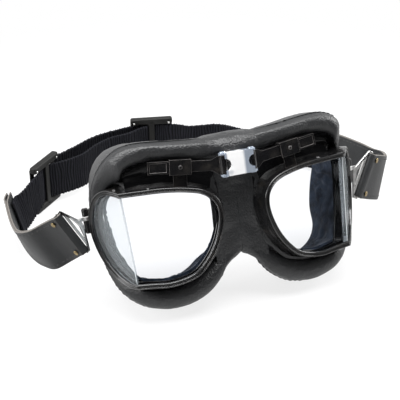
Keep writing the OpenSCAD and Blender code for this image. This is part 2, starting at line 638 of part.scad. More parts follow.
module elastic(side) {
  color(elastic_black) on_table()
    band([for (r = side < 0 ? elastic_left_rows : elastic_right_rows) edges(r)],
      band_steps, elastic_w, elastic_t);
}

// Sliders: frames whose middle bar stands in front of the elastic and whose end bars stand behind it
module rounded(l, h, r) {
  translate([r, 0]) square([l - 2 * r, h]);
  translate([0, r]) square([l, h - 2 * r]);
  for (x = [r, l - r], y = [r, h - r]) translate([x, y]) circle(r = r);
}
module slider(at) {
  strap_room = elastic_t / 2 + gap;
  window = slider_h - 2 * slider_rail;
  color(slider_grey) on_table() translate([at[0], at[1], 0]) rotate([0, 0, at[2]])
    translate([-slider_l / 2, 0, 0]) {
      difference() {
        rotate([90, 0, 0]) translate([0, 0, -slider_t / 2]) linear_extrude(slider_t)
          rounded(slider_l, slider_h, slider_round);
        translate([-1, -slider_t, slider_rail]) cube([slider_l + 2, slider_t + strap_room, window]);
        translate([slider_bar, -slider_t, slider_rail])
          cube([slider_l - 2 * slider_bar, 2 * slider_t, window]);
      }
      translate([(slider_l - slider_bar) / 2, -slider_t / 2, slider_rail - 0.1])
        cube([slider_bar, slider_t / 2 - strap_room, window + 0.2]);
    }
}

mask(-1);  // mask_left
mask(1);  // mask_right
mask_nose();
lining(-1);  // lining_left
lining(1);  // lining_right
eyecup(-1);  // eyecup_left
eyecup(1);  // eyecup_right
rim(-1);  // rim_left
rim(1);  // rim_right
front_lens(-1);  // front_lens_left
front_lens(1);  // front_lens_right
side_lens(-1);  // side_lens_left
side_lens(1);  // side_lens_right
sleeve(-1);  // sleeve_left
sleeve(1);  // sleeve_right
bridge_arm(-1);  // bridge_arm_left
bridge_arm(1);  // bridge_arm_right
bridge_link();
bridge_pin(-1);  // bridge_pin_left
bridge_pin(1);  // bridge_pin_right
side_bracket(-1);  // side_bracket_left
side_bracket(1);  // side_bracket_right
bracket_pin(-1);  // bracket_pin_left
bracket_pin(1);  // bracket_pin_right
strap_plate(-1);  // strap_plate_left
strap_plate(1);  // strap_plate_right
leather_tab(-1);  // leather_tab_left
leather_tab(1);  // leather_tab_right
tab_rivets(-1);  // tab_rivets_left
tab_rivets(1);  // tab_rivets_right
elastic(-1);  // elastic_left
elastic(1);  // elastic_right
slider(slider_left_at);  // slider_left
slider(slider_right_at);  // slider_right
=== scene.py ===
# Split-lens riding goggles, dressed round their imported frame. Left and right are as the picture shows
# them. Shapes are worked out in millimetres on the upright goggles, then leaned back on the table.
import bmesh
import bpy
import numpy as np
from mathutils import Matrix, Vector
from mathutils.bvhtree import BVHTree


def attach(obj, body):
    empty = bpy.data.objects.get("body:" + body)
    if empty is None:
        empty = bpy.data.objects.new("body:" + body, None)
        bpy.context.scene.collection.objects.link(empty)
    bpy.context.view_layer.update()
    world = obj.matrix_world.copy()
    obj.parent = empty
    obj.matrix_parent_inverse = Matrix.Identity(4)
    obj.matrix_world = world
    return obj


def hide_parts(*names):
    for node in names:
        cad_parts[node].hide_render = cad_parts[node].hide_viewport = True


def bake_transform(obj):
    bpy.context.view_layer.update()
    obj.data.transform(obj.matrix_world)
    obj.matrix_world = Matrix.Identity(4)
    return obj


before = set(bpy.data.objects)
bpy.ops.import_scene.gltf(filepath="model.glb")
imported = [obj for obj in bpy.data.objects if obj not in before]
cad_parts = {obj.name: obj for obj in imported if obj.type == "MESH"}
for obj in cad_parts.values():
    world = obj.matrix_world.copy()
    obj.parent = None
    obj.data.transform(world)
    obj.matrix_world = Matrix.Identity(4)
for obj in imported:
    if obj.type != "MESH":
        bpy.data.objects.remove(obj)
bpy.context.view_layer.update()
SIDES = (("left", -1), ("right", 1))

# The camera stands before the goggles and to their left, and looks down on them through a long lens.
camera = bpy.data.objects.new("camera", bpy.data.cameras.new("camera"))
bpy.context.scene.collection.objects.link(camera)
look = Vector((0.30733, 0.82425, -0.47556)).normalized()
level = Vector((0.93699, -0.34936, 0.0)).normalized()
roll = np.radians(-0.755)
across = level * np.cos(roll) + level.cross(look) * np.sin(roll)
upward = across.cross(look)
camera.matrix_world = Matrix.Translation((-0.25707, -0.69069, 0.41740)) @ Matrix(
    (across, upward, -look)).transposed().to_4x4()
camera.data.lens = 114.965
camera.data.sensor_width = 36
camera.data.clip_start = 0.05
bpy.context.scene.camera = camera
bpy.context.scene.view_settings.view_transform = "Standard"


class Field:
    """A socket that takes part in sums, so that shader maths is written as an expression."""

    def __init__(self, finish, socket):
        self.finish, self.socket = finish, socket

    def sum(self, operation, a, b):
        return self.finish.node("Math", {"operation": operation}, {0: a, 1: b})

    def __add__(self, other):
        return self.sum("ADD", self, other)

    def __radd__(self, other):
        return self.sum("ADD", other, self)

    def __sub__(self, other):
        return self.sum("SUBTRACT", self, other)

    def __rsub__(self, other):
        return self.sum("SUBTRACT", other, self)

    def __or__(self, other):
        return self.sum("MAXIMUM", self, other)

    def __and__(self, other):
        return self.sum("MINIMUM", self, other)

    def __mul__(self, other):
        return self.sum("MULTIPLY", self, other)

    def __rmul__(self, other):
        return self.sum("MULTIPLY", other, self)

    def __pow__(self, other):
        return self.sum("POWER", self, other)


class Finish:
    """One material of the goggles, or the room's light, and the ways to add nodes to it."""

    def __init__(self, name, kept=bpy.data.materials):
        self.material = kept.new(name)
        self.material.use_nodes = True
        self.tree = self.material.node_tree
        self.tree.nodes.clear()

    def node(self, kind, settings=None, sockets=None, out=0):
        made = self.tree.nodes.new("ShaderNode" + kind)
        for key, value in (settings or {}).items():
            if key == "stops":
                ramp = made.color_ramp
                for k, (place, tint) in enumerate(value):
                    stop = ramp.elements[k] if k < 2 else ramp.elements.new(place)
                    stop.position = place
                    stop.color = (*tint, 1)
            else:
                setattr(made, key, value)
        for key, value in (sockets or {}).items():
            if isinstance(value, Field):
                self.tree.links.new(value.socket, made.inputs[key])
            else:
                made.inputs[key].default_value = value
        return Field(self, made.outputs[out]) if made.outputs else None

    def place(self):
        return self.node("TexCoord", out=3)

    def stretched(self, scale):
        return self.node("Mapping", sockets={0: self.place(), 3: scale})

    def grain(self, size, detail=2.0, at=None):
        """Noise from 0 to 1, its lumps about size metres across."""
        return self.node("TexNoise", sockets={0: at or self.place(), "Scale": 1 / size, "Detail": detail})

    def pebbles(self, size, at=None, feature="F1"):
        return self.node("TexVoronoi", {"feature": feature}, {0: at or self.place(), "Scale": 1 / size})

    def tint(self, mask, dark, light):
        return self.node("ValToRGB", {"stops": ((0.25, dark), (0.75, light))}, {0: mask})

    def blend(self, mask, a, b):
        return self.node("Mix", {"data_type": "RGBA"}, {0: mask, 6: a, 7: b}, out=2)

    def bump(self, height, depth):
        """Normal of a height field from 0 to 1 that stands depth metres high."""
        return self.node("Bump", sockets={"Height": height, "Distance": depth, "Strength": 1.0})

    def attribute(self, name, out=2):
        return self.node("Attribute", {"attribute_name": name}, out=out)

    def shade(self, **sockets):
        named = {key.replace("_", " "): value for key, value in sockets.items()}
        return self.node("BsdfPrincipled", sockets=named)

    def ray(self, kind):
        return self.node("LightPath", out=f"Is {kind} Ray")

    def ramp(self, mask, start, end, low=0.0, high=1.0):
        """Low below start, high above end, and a smooth step between."""
        return self.node("MapRange", {"interpolation_type": "SMOOTHSTEP"},
                         {0: mask, 1: start, 2: end, 3: low, 4: high})

    def done(self, surface, output="OutputMaterial"):
        self.node(output, sockets={0: surface})
        return self.material


# The room: a pale table that runs out to white, a large soft box overhead, one before the goggles to
# their left and one on the right. What shines sees the same white room as the camera does, but for
# the dark side that the camera stands on.
def light(name, at, aim, size, watts):
    lamp = bpy.data.lights.new(name, "AREA")
    lamp.shape, lamp.size, lamp.size_y, lamp.energy = "RECTANGLE", size[0], size[1], watts
    holder = bpy.data.objects.new(name, lamp)
    bpy.context.scene.collection.objects.link(holder)
    holder.location = at
    holder.rotation_euler = (Vector(aim) - Vector(at)).to_track_quat("-Z", "Y").to_euler()


light("soft_box_above", (-0.05, -0.12, 0.9), (0, 0, 0), (1.0, 0.45), 16)
light("soft_box_left", (-0.95, 0.0, 0.55), (0, 0, 0.05), (0.5, 0.6), 9)
light("soft_box_right", (0.95, 0.05, 0.5), (0, 0, 0.05), (0.4, 0.6), 8)

room = Finish("white_room", bpy.data.worlds)
bpy.context.scene.world = room.material
toward = room.node("TexCoord")
toward_y = room.node("SeparateXYZ", sockets={0: toward}, out=1)
toward_z = room.node("SeparateXYZ", sockets={0: toward}, out=2)
mirrored = room.ramp(toward_y, -0.6, 0.05, 0.01, 1.0) | room.ramp(toward_z, 0.5, 0.8, 0.0, 0.75)
straight = room.ray("Camera") | room.ray("Transmission")
glow = straight | room.ray("Glossy") * mirrored | room.ray("Diffuse") * 0.30
room.done(room.node("Background", sockets={"Color": (1, 1, 1, 1), "Strength": glow}), "OutputWorld")

table_finish = Finish("pale_table")
far_out = table_finish.node("VectorMath", {"operation": "LENGTH"}, {0: table_finish.place()}, out=1)
table_share = (table_finish.ray("Camera") | table_finish.ray("Transmission")) * table_finish.ramp(
    far_out, 0.14, 0.40, 0.80, 1.0) | table_finish.ray("Glossy")
table_paint = table_finish.shade(Base_Color=(0.9, 0.9, 0.91, 1), Roughness=0.9)
table_glow = table_finish.node("Emission", sockets={0: (1, 1, 1, 1), 1: 1.0})
table_finish.done(table_finish.node("MixShader", sockets={0: table_share, 1: table_paint, 2: table_glow}))
table_mesh = bpy.data.meshes.new("table")
table_mesh.from_pydata([(-6, -6, 0), (6, -6, 0), (6, 6, 0), (-6, 6, 0)], [], [(0, 1, 2, 3)])
table_mesh.materials.append(table_finish.material)
table_top = bpy.data.objects.new("table", table_mesh)
bpy.context.scene.collection.objects.link(table_top)


# Mask: two halves of black leather, gathered over a foam roll round each eye, glued behind the cups
# and cut to the face. The stations give the roll round one eye, as in the part's source.
MM = 0.001
TABLE_CENTRE = np.array([8.7, 99.04, 0]) * MM
LEAN, STAND = np.radians(20), 29
EYE_OUT, EYE_TIP = 66.5, np.radians(3.4)


def lean_back(p):
    """Upright goggles in millimetres to the table in metres: turned back by LEAN about the panes'
    lower corners, lifted by STAND and centred."""
    c, s = np.cos(LEAN), np.sin(LEAN)
    x, y, z = p[..., 0], p[..., 1], p[..., 2]
    return np.stack([x, y * c + z * s, z * c - y * s + STAND], -1) * MM - TABLE_CENTRE


def tip_out(p):
    """Eye unit to upright goggles: EYE_OUT from the middle and tipped outwards by EYE_TIP."""
    c, s = np.cos(EYE_TIP), np.sin(EYE_TIP)
    x, y, z = p[..., 0], p[..., 1], p[..., 2]
    return np.stack([EYE_OUT + x * c + z * s, y, z * c - x * s], -1)


def smooth_line(points, steps, closed=False):
    """Cubic through the points: the slope at each is half the step from the one before to the one
    after it."""
    p = np.asarray(points, float)
    ring = np.concatenate([p[-1:], p, p[:2]] if closed else [2 * p[:1] - p[1:2], p, 2 * p[-1:] - p[-2:-1]])
    t = (np.arange(steps) / steps).reshape(1, steps, *[1] * (p.ndim - 1))
    a, b, c, d = (ring[i:len(ring) - 3 + i][:, None] for i in range(4))
    line = 0.5 * (2 * b + (c - a) * t + (2 * a - 5 * b + 4 * c - d) * t**2
                  + (3 * b - a - 3 * c + d) * t**3)
    line = line.reshape(-1, *p.shape[1:])
    return line if closed else np.concatenate([line, p[-1:]])


def length(v):
    return np.sqrt((v * v).sum(-1, keepdims=True))


PANE_HEIGHT, SIDE_SWEEP = 51, 59
BEND_LEAN, BEND_REACH = np.tan(np.radians(24.5)), 12
PANE = {  # width, sweep back in degrees, way out from the bend, and the sight edge as shares
    "front": (53.7, 10, -1, [
        [0, 1], [0.22, 0.98], [0.45, 0.957], [0.67, 0.914], [0.857, 0.851], [0.965, 0.753], [1, 0.627],
        [0.976, 0.47], [0.894, 0.275], [0.773, 0.108], [0.615, -0.016], [0.37, -0.055], [0.15, -0.022],
        [0, 0]]),
    "side": (24.2, SIDE_SWEEP, 1, [
        [0, 1], [0.18, 1.026], [0.43, 1.04], [0.7, 0.99], [0.89, 0.882], [1, 0.716], [0.977, 0.53],
        [0.82, 0.324], [0.545, 0.147], [0.23, 0.035], [0, 0]])}
EDGE_STEPS = 8


def beside_edge(pane, k, d, w):
    """Point d outside a pane's sight edge and w before the glass, k points of its shape on from the
    top. Near the bend the points lean over onto the plane between the panes."""
    wide, sweep, way, shape = PANE[pane]
    edge = smooth_line(np.array(shape) * [wide, PANE_HEIGHT], EDGE_STEPS)
    ahead, behind = np.roll(edge, -1, 0), np.roll(edge, 1, 0)
    ahead[-1], behind[0] = edge[-1], edge[0]
    along = ahead - behind
    out = np.stack([-along[:, 1], along[:, 0]], -1) / length(along)
    out[0], out[-1] = (0, 1), (0, -1)
    at = np.clip(k * EDGE_STEPS, 0, len(edge) - 1)
    low = np.minimum(at.astype(int), len(edge) - 2)
    part = (at - low)[..., None]
    p = edge[low] * (1 - part) + edge[low + 1] * part
    n = out[low] * (1 - part) + out[low + 1] * part
    p = p + n * d[..., None]
    u = p[..., 0] - w * BEND_LEAN * np.clip(1 - p[..., 0] / BEND_REACH, 0, None)
    c, s = np.cos(np.radians(sweep)), np.sin(np.radians(sweep))
    return tip_out(np.stack([way * u * c + w * s, way * u * s - w * c, p[..., 1]], -1))


def round_eye(k, d, w):
    """Point round one eye: k runs from the top of the bend by way of the nose to its foot, 0 to 13,
    and back up the side pane, 13 to 23."""
    k, d, w = np.broadcast_arrays(np.asarray(k, float) % 23, np.asarray(d, float), np.asarray(w, float))
    front = beside_edge("front", np.minimum(k, 13), d, w)
    side = beside_edge("side", np.clip(23 - k, 0, 10), d, w)
    return np.where((k <= 13)[..., None], front, side)


def crumple(points, size, seed, stretch=(1, 1, 1), waves=30):
    """Smooth random height of about 1 at each point: a sum of plane waves about size long, in seeded
    directions, over the square root of their number."""
    rng = np.random.default_rng(seed)
    way = rng.normal(size=(waves, 3))
    way = way / length(way) / stretch * 2 * np.pi / size * rng.uniform(0.6, 1.6, (waves, 1))
    return np.sin(points @ way.T + rng.uniform(0, 2 * np.pi, waves)).sum(-1) / np.sqrt(waves)


def outward(grid, closed=(True, True)):
    """Unit normals of a grid of points, from the cross product of its two central differences."""
    du = np.roll(grid, -1, 0) - np.roll(grid, 1, 0)
    dv = np.roll(grid, -1, 1) - np.roll(grid, 1, 1)
    if not closed[0]:
        du[0], du[-1] = grid[1] - grid[0], grid[-1] - grid[-2]
    if not closed[1]:
        dv[:, 0], dv[:, -1] = grid[:, 1] - grid[:, 0], grid[:, -1] - grid[:, -2]
    n = np.cross(du, dv)
    return n / np.maximum(length(n), 1e-9)


def skin(name, grid, closed=(True, True), ends=False, sharp=40, marks=None, turn=False):
    """Mesh of a grid of points in metres, joined up in the directions that are closed. A closed skin
    is turned so that its volume, the sum of its corners' triple products about its middle, is
    positive."""
    m, n = grid.shape[:2]
    i = np.arange(m if closed[0] else m - 1)[:, None]
    j = np.arange(n if closed[1] else n - 1)[None, :]
    i2, j2 = (i + 1) % m, (j + 1) % n
    quads = np.stack([i * n + j, i2 * n + j, i2 * n + j2, i * n + j2], -1).reshape(-1, 4)
    p = grid.reshape(-1, 3)
    a, b, c, d = (p[quads[:, k]] - p.mean(0) for k in range(4))
    volume = (np.cross(a, b) * c).sum() + (np.cross(a, c) * d).sum()
    flip = volume < 0 if (closed[1] and (closed[0] or ends)) else turn
    faces = (quads[:, ::-1] if flip else quads).tolist()
    if ends:
        caps = [list(range(n)), list(range(m * n - 1, (m - 1) * n - 1, -1))]
        faces += [cap[::-1] for cap in caps] if flip else caps
    mesh = bpy.data.meshes.new(name)
    mesh.from_pydata(p.tolist(), [], faces)
    for key, values in (marks or {}).items():
        mesh.attributes.new(key, "FLOAT", "POINT").data.foreach_set(
            "value", np.asarray(values, np.float32).ravel())
    mesh.shade_smooth()
    if sharp:
        mesh.set_sharp_from_angle(angle=np.radians(sharp))
    piece = bpy.data.objects.new(name, mesh)
    bpy.context.scene.collection.objects.link(piece)
    return piece


leather = Finish("mask_leather")
pores = leather.pebbles(0.0011)
creases = leather.grain(0.004, 5)
broad = leather.grain(0.018, 3)
hide = leather.tint(broad, (0.007, 0.0074, 0.0082), (0.014, 0.0145, 0.0155))
grained = leather.shade(
    Base_Color=leather.blend(creases ** 3, hide, (0.016, 0.017, 0.019, 1)),
    Roughness=0.41 + 0.06 * creases, Specular_IOR_Level=0.52,
    Normal=leather.bump(pores * 0.8 + leather.grain(0.0016) * 0.2, 0.00025))
# painted shade: a darker, glossier black for the leather in the hollow above the eye, where shade falls under
# the roll
painted_hollow_shade = leather.shade(Base_Color=(0.003, 0.003, 0.0035, 1), Roughness=0.2 + 0.1 * creases,
                       Specular_IOR_Level=0.3)
leather.done(leather.node("MixShader", sockets={0: leather.attribute("painted_hollow_shade"), 1: grained, 2: painted_hollow_shade}))

STATIONS = np.array([
    [1.5, 52, 79.5, 4.5, 6, 31, 1], [3.3, 30, 77.5, 1.5, 6, 26, 1], [4.5, 17, 76.5, 1.5, 6.5, 21, 1],
    [5.1, 9, 75, 2, 7, 19, 0], [5.5, 9, 58, 6, 4, 18, 0], [6, 9, 37, 7, 3.5, 17.5, 0],
    [7, 9, 20, 7.5, 3.5, 18.5, 0], [8, 9.2, 2.5, 6.5, 4, 20, 1.5], [9, 13.5, -6.5, 6.5, 5.5, 23, 2.5],
    [10, 22, -14.5, 7.5, 7, 28, 2], [10.8, 33, -19.5, 9.5, 8, 35, 1], [11.6, 47.5, -20.5, 11, 8.5, 38, 0.5],
    [12.6, 62, -15.5, 12, 8, 41, 1], [14, 71.5, -6.5, 16.5, 7, 44, 2], [15.5, 76, 6, 25, 5, 47, 3],
    [17, 78.5, 22, 31, 4.5, 48, 2], [18, 79.5, 38, 32, 4, 48, 1.5], [19.2, 79, 53, 27, 5, 45, 1.5],
    [20.3, 76.5, 65, 18, 6.5, 41, 1], [21.5, 71.5, 74, 9, 8, 36, 1], [22.6, 63.5, 78.5, 6.5, 7.2, 33.5, 1]])
STATION_STEPS = 16
CUP_BACK = -9.3
PAD_THICK = 9.0
EYE_MIDDLE = [45, 26]
BY_NOSE_DEPTH = 8
pace = 23 / len(STATIONS)
lead = STATIONS.copy()
lead[:, 0] -= pace * np.arange(len(lead))
station = smooth_line(lead, STATION_STEPS, closed=True)
station[:, 0] += pace * np.arange(len(station)) / STATION_STEPS
place_k, edge_x, edge_z, roll_depth, roll_r, back_depth, back_in = station.T
edge_x = np.maximum(edge_x, 9)
by_nose = np.exp(-((place_k - 6.6) / 1.7) ** 4)
pad_thick = PAD_THICK * (1 - 0.8 * by_nose)
pad_depth = back_depth - BY_NOSE_DEPTH * by_nose


def mask_half():
    """Grid round one eye. Each section leaves the cup's back, dips into the hollow, goes over the
    roll as an arc about its centre, and comes round the face pad."""
    edge = np.stack([edge_x, edge_z], -1)
    out = edge - EYE_MIDDLE
    out = out / length(out)
    front = round_eye(place_k, 2.8, CUP_BACK)
    inner = round_eye(place_k, 1.8, CUP_BACK)
    rim_at = front[:, [0, 2]]
    reach = length(edge - rim_at)[:, 0]
    hollow = np.maximum(3.6, 0.7 * (reach - 2 * roll_r))
    arc = np.radians(np.linspace(-165, 15, 13))
    far = [np.full_like(reach, 3.2), hollow] + [
        np.maximum(reach - roll_r * (1 - np.cos(a)), 3.2 + 0.02 * i) for i, a in enumerate(arc)]
    deep = [front[:, 1] + 0.3, front[:, 1] + 0.8] + [roll_depth + roll_r * np.sin(a) for a in arc]
    rows = [inner, front]
    for i, (f, y) in enumerate(zip(far, deep)):
        share = np.minimum(f / reach, 1 - 0.02 * (len(far) - 1 - i))[:, None]
        q = rim_at + (edge - rim_at) * share
        rows.append(np.stack([q[:, 0], y, q[:, 1]], -1))
    for inside, y in ((back_in + 0.15 * pad_thick, pad_depth - 3.15), (back_in + 0.55 * pad_thick, pad_depth),
                      (back_in + pad_thick, pad_depth - 1.5)):
        q = edge - out * inside[:, None]
        rows.append(np.stack([q[:, 0], y, q[:, 1]], -1))
    sections = smooth_line(np.stack(rows, 0), 4, closed=True)
    return np.swapaxes(sections, 0, 1)


MASK_STEPS = 4
half = mask_half()
places = np.arange(half.shape[1]) / MASK_STEPS
outer_edge = np.stack([edge_x, edge_z, roll_depth], -1)
run = np.concatenate([[0], np.cumsum(length(np.diff(outer_edge, axis=0))[:, 0])])
PUFF_FRAMES, PUFF_MOST, SPARE = 20, 0.3, 0.01


def puffed(grid):
    """Grid of a padded ring after its leather has been blown out as cloth: a coarser copy, cut 1%
    too long and held where it is glued, is simulated, and how far it moved, up to a most, is added."""
    coarse = grid[::2, ::2]
    m, n = coarse.shape[:2]
    blown = skin("puffing", coarse * MM, sharp=0)
    row = np.arange(n) * 2 / MASK_STEPS
    held = 1 - np.clip((np.minimum(row - 1.5, 18.5 - row)) / 2.5, 0, 1)
    group = blown.vertex_groups.new(name="held")
    for weight in np.unique(held):
        columns = np.flatnonzero(held == weight)
        group.add([int(i * n + j) for i in range(m) for j in columns], float(weight), "REPLACE")
    cloth = blown.modifiers.new("cloth", "CLOTH")
    cloth.settings.quality = 6
    cloth.settings.mass = 0.05
    cloth.settings.vertex_group_mass = "held"
    cloth.settings.use_pressure = True
    cloth.settings.uniform_pressure_force = 3.0
    cloth.settings.shrink_min = -SPARE
    cloth.settings.shrink_max = -SPARE
    cloth.settings.bending_stiffness = 2.0
    cloth.settings.effector_weights.gravity = 0
    cloth.point_cache.frame_end = PUFF_FRAMES
    scene = bpy.context.scene
    for frame_number in range(1, PUFF_FRAMES + 1):
        scene.frame_set(frame_number)
    shaped = blown.evaluated_get(bpy.context.evaluated_depsgraph_get()).data
    after = np.empty(m * n * 3, np.float32)
    shaped.vertices.foreach_get("co", after)
    scene.frame_set(1)
    moved = after.reshape(m, n, 3) / MM - coarse
    bpy.data.objects.remove(blown)
    far = length(moved)
    moved = moved * np.minimum(1, PUFF_MOST / np.maximum(far, 1e-6))
    moved = (np.repeat(moved, 2, 0) + np.roll(np.repeat(moved, 2, 0), -1, 0)) / 2
    moved = (np.repeat(moved, 2, 1) + np.roll(np.repeat(moved, 2, 1), -1, 1)) / 2
    return grid + moved


def near(places, middle, spread):
    return np.exp(-((places - middle) / spread) ** 2)


def gathered(grid, seed):
    """Leather drawn over foam: ripples square to the outer edge, about 4 mm apart, folds out of the
    hollow beside the rim, and slow dents all over."""
    normal = outward(grid)
    if (normal * (grid - grid.mean((0, 1)))).sum() < 0:
        normal = -normal
    lengths = run[:, None] + 0 * places[None, :]
    wander = crumple(grid, 14, seed)
    ripple = np.abs(np.sin(lengths / 3.9 * np.pi + 1.6 * wander)) ** 0.7 - 0.6
    ripple = ripple * (0.5 + 0.5 * crumple(grid, 30, seed + 1)) * (1 - by_nose)[:, None]
    fold = np.abs(np.sin(lengths / 5.5 * np.pi + 2.2 * crumple(grid, 18, seed + 2)))
    fold = (fold - 0.6) * np.clip(crumple(grid, 26, seed + 3) + 0.3, 0, 1.2)
    height = (0.75 * ripple * near(places, 15.4, 1.2) + 0.22 * fold * near(places, 4.5, 2.2)
              + 0.06 * crumple(grid, 11, seed + 4) + 0.05 * crumple(grid, 5, seed + 5))
    fixed = 1 - near(places, 0.5, 1.2)
    return grid + normal * (height * fixed)[..., None]


def on_table(points):
    points[..., 2] = np.maximum(points[..., 2], 0.0)
    return points


half = puffed(half)
mask_skins = {}
for name, side in SIDES:
    grid = on_table(lean_back(gathered(half, 11 + side) * [side, 1, 1]))
    # painted shade: the hollow above the eye is made glossier and darker than the rest, for the shade under
    # the brow roll
    hollow_shade_mark = np.clip(1.6 * near(places, 2.6, 3.0), 0, 0.95) * np.clip(edge_z / 30 - 0.6, 0, 1)[:, None]
    piece = skin(f"mask_skin_{name}", grid, sharp=0, marks={"painted_hollow_shade": hollow_shade_mark})
    piece.data.materials.append(leather.material)
    mask_skins[name] = piece
    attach(piece, f"{name}_eye")
    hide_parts(f"mask_{name}")

# Nose piece: the soft leather between the two halves. Each side of it is drawn from a ridge in the
# middle to where it meets the roll of its half.
RIDGE = smooth_line([
    [20, 66], [19, 72], [12, 76.5], [1, 77], [-5, 74], [-7.3, 69], [-5.5, 62], [-1.5, 55],
    [0, 44], [-0.5, 30], [0, 14], [3, 7], [9, 6], [15, 9], [17, 16]], 10)
MEET_X, COVER = 13.5, 3.0
LEG_DROP = 12.5
RAY_OUT, RAY_IN = 30, 14


def nose_half(side):
    """Grid from the ridge out over the mask's roll: up to where it meets the roll, the drop below the
    ridge is the cubic that starts level and ends with the roll's own slope, and past there it lies on
    the roll and sinks in at its edge."""
    roll = mask_skins["right"].data
    tree = BVHTree.FromPolygons([v.co for v in roll.vertices], [tuple(f.vertices) for f in roll.polygons])
    ahead = np.gradient(RIDGE, axis=0)
    normal = np.stack([ahead[:, 1], -ahead[:, 0]], -1) / length(ahead)
    low = np.clip((np.arange(len(RIDGE)) / 10 - 8) / 3, 0, 1)[:, None]
    foot = RIDGE - [0, LEG_DROP] * low * low * (3 - 2 * low)
    over = np.linspace(0, COVER, 5)
    meets = np.full((len(RIDGE), len(over)), np.nan)
    for i, (at, n) in enumerate(zip(foot, normal)):
        for j, x in enumerate(over):
            ends = np.stack([np.r_[MEET_X + x, at + RAY_OUT * n], np.r_[MEET_X + x, at - RAY_IN * n]])
            a, b = (Vector(p) for p in lean_back(ends))
            hit = tree.ray_cast(a, (b - a).normalized(), (b - a).length)[0]
            if hit is not None:
                meets[i, j] = (hit - a).length / MM - RAY_OUT
    for j in range(len(over)):
        good = ~np.isnan(meets[:, j])
        meets[:, j] = np.interp(np.arange(len(meets)), np.flatnonzero(good), meets[good, j])
        meets[:, j] = np.convolve(np.pad(meets[:, j], 5, "edge"), np.ones(11) / 11, "valid")
    slope = (meets[:, 1:3].mean(1) - meets[:, 0])[:, None] / over[1:3].mean()
    t = np.linspace(0, 1, 40)[None, :]
    span = meets[:, :1] * (3 * t**2 - 2 * t**3) + slope * MEET_X * (t**3 - t**2)
    late = np.linspace(0, 1, 9)[1:]
    lie = np.stack([np.interp(late * COVER, over, row) for row in meets])
    drop = np.concatenate([span - 0.25 * t**4, lie - 0.25 + 0.6 * late**1.5], 1)
    x = np.concatenate([MEET_X * t[0], MEET_X + COVER * late])
    bulge = normal[:, None, :] + 0 * drop[..., None]
    sag = np.clip(x / MEET_X, 0, 1)[None, :, None]
    flat = RIDGE[:, None, :] * (1 - sag) + foot[:, None, :] * sag - bulge * drop[..., None]
    grid = np.concatenate([x[None, :, None] + 0 * drop[..., None], flat], -1)
    seen = grid * [side, 1, 1]
    fine = 0.16 * crumple(seen, 6, 31, (2.5, 1, 0.6)) + 0.09 * crumple(seen, 3, 32, (2, 1, 0.5))
    grid[..., 1:] += bulge * (fine * np.clip(1 - x / MEET_X, 0, 1) ** 0.5)[..., None]
    return lean_back(grid * [side, 1, 1])


for name, side in SIDES:
    piece = skin(f"nose_leather_{name}", nose_half(side), closed=(False, False), sharp=0, turn=side < 0)
    piece.data.materials.append(leather.material)
    thick = piece.modifiers.new("thick", "SOLIDIFY")
    thick.thickness = 0.0012
    thick.offset = -1
    if name == "left":
        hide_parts("mask_nose")
    middle = lean_back(np.array([0.0, 0, 40]))
    meet = lean_back(np.array([side * MEET_X, 0, 40]))
    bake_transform(piece)

# Lining: navy fleece, glued inside each half from the cup to the back edge, with soft folds.
fleece = Finish("fleece")
nap = fleece.grain(0.0009, 4)
tuft = fleece.grain(0.006, 3)
fleece.done(fleece.shade(
    Base_Color=fleece.tint(tuft, (0.004, 0.0055, 0.010), (0.042, 0.058, 0.088)),
    Roughness=0.95, Sheen_Weight=0.1, Sheen_Roughness=0.5, Specular_IOR_Level=0.15,
    Normal=fleece.bump(nap * 0.3 + tuft * 0.7, 0.0015)))


def lining_half():
    """Grid of the lining: an inner wall from the cup's seat to the back edge that sags into folds,
    and a flat back against the mask."""
    edge = np.stack([edge_x, edge_z], -1)
    out = edge - EYE_MIDDLE
    out = out / length(out)
    back = edge - out * (back_in + pad_thick + 0.8)[:, None]
    deep = back - out * 1.6
    y = pad_depth - 1.5 - BY_NOSE_DEPTH * by_nose
    a = np.stack([deep[:, 0], y - 0.3, deep[:, 1]], -1)
    b = round_eye(place_k, -0.6, CUP_BACK)
    c = round_eye(place_k, 1.0, CUP_BACK)
    d = np.stack([back[:, 0], y, back[:, 1]], -1)
    t = np.linspace(0, 1, 24)[:, None, None]
    wall = a * (1 - t) + b * t
    inward = np.stack([-out[:, 0], 0 * y, -out[:, 1]], -1)
    lengths = run[None, :] + 0 * t[..., 0]
    folds = np.sin(lengths / 11 * np.pi + 2.2 * crumple(wall, 20, 41)) ** 2 - 0.4
    folds = 1.1 * folds * np.clip(crumple(wall, 24, 42) + 0.5, 0, 1.3) + 0.35 * crumple(wall, 9, 43)
    wall = wall + inward * (folds * np.sin(np.pi * t[..., 0]) ** 0.6)[..., None]
    t = np.linspace(0, 1, 4)[:, None, None]
    return np.swapaxes(np.concatenate([wall, c * (1 - t) + d * t]), 0, 1)


for name, side in SIDES:
    piece = skin(f"lining_fleece_{name}", lean_back(lining_half() * [side, 1, 1]), sharp=60)
    piece.data.materials.append(fleece.material)
    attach(piece, f"{name}_eye")
    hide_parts(f"lining_{name}")

# Rims: a bezel spun from sheet, enamelled black, with two round ridges and a groove between them.
enamel = Finish("black_enamel")
peel = enamel.grain(0.0025, 2)
rubs = enamel.grain(0.007, 6)
bare = (rubs ** 6) * 6.0
enamel.done(enamel.shade(
    Base_Color=enamel.blend(bare, (0.005, 0.005, 0.0055, 1), (0.020, 0.018, 0.016, 1)),
    Roughness=0.10 + 0.10 * rubs, Coat_Weight=0.3, Coat_Roughness=0.04,
    Normal=enamel.bump(peel, 0.00003)))

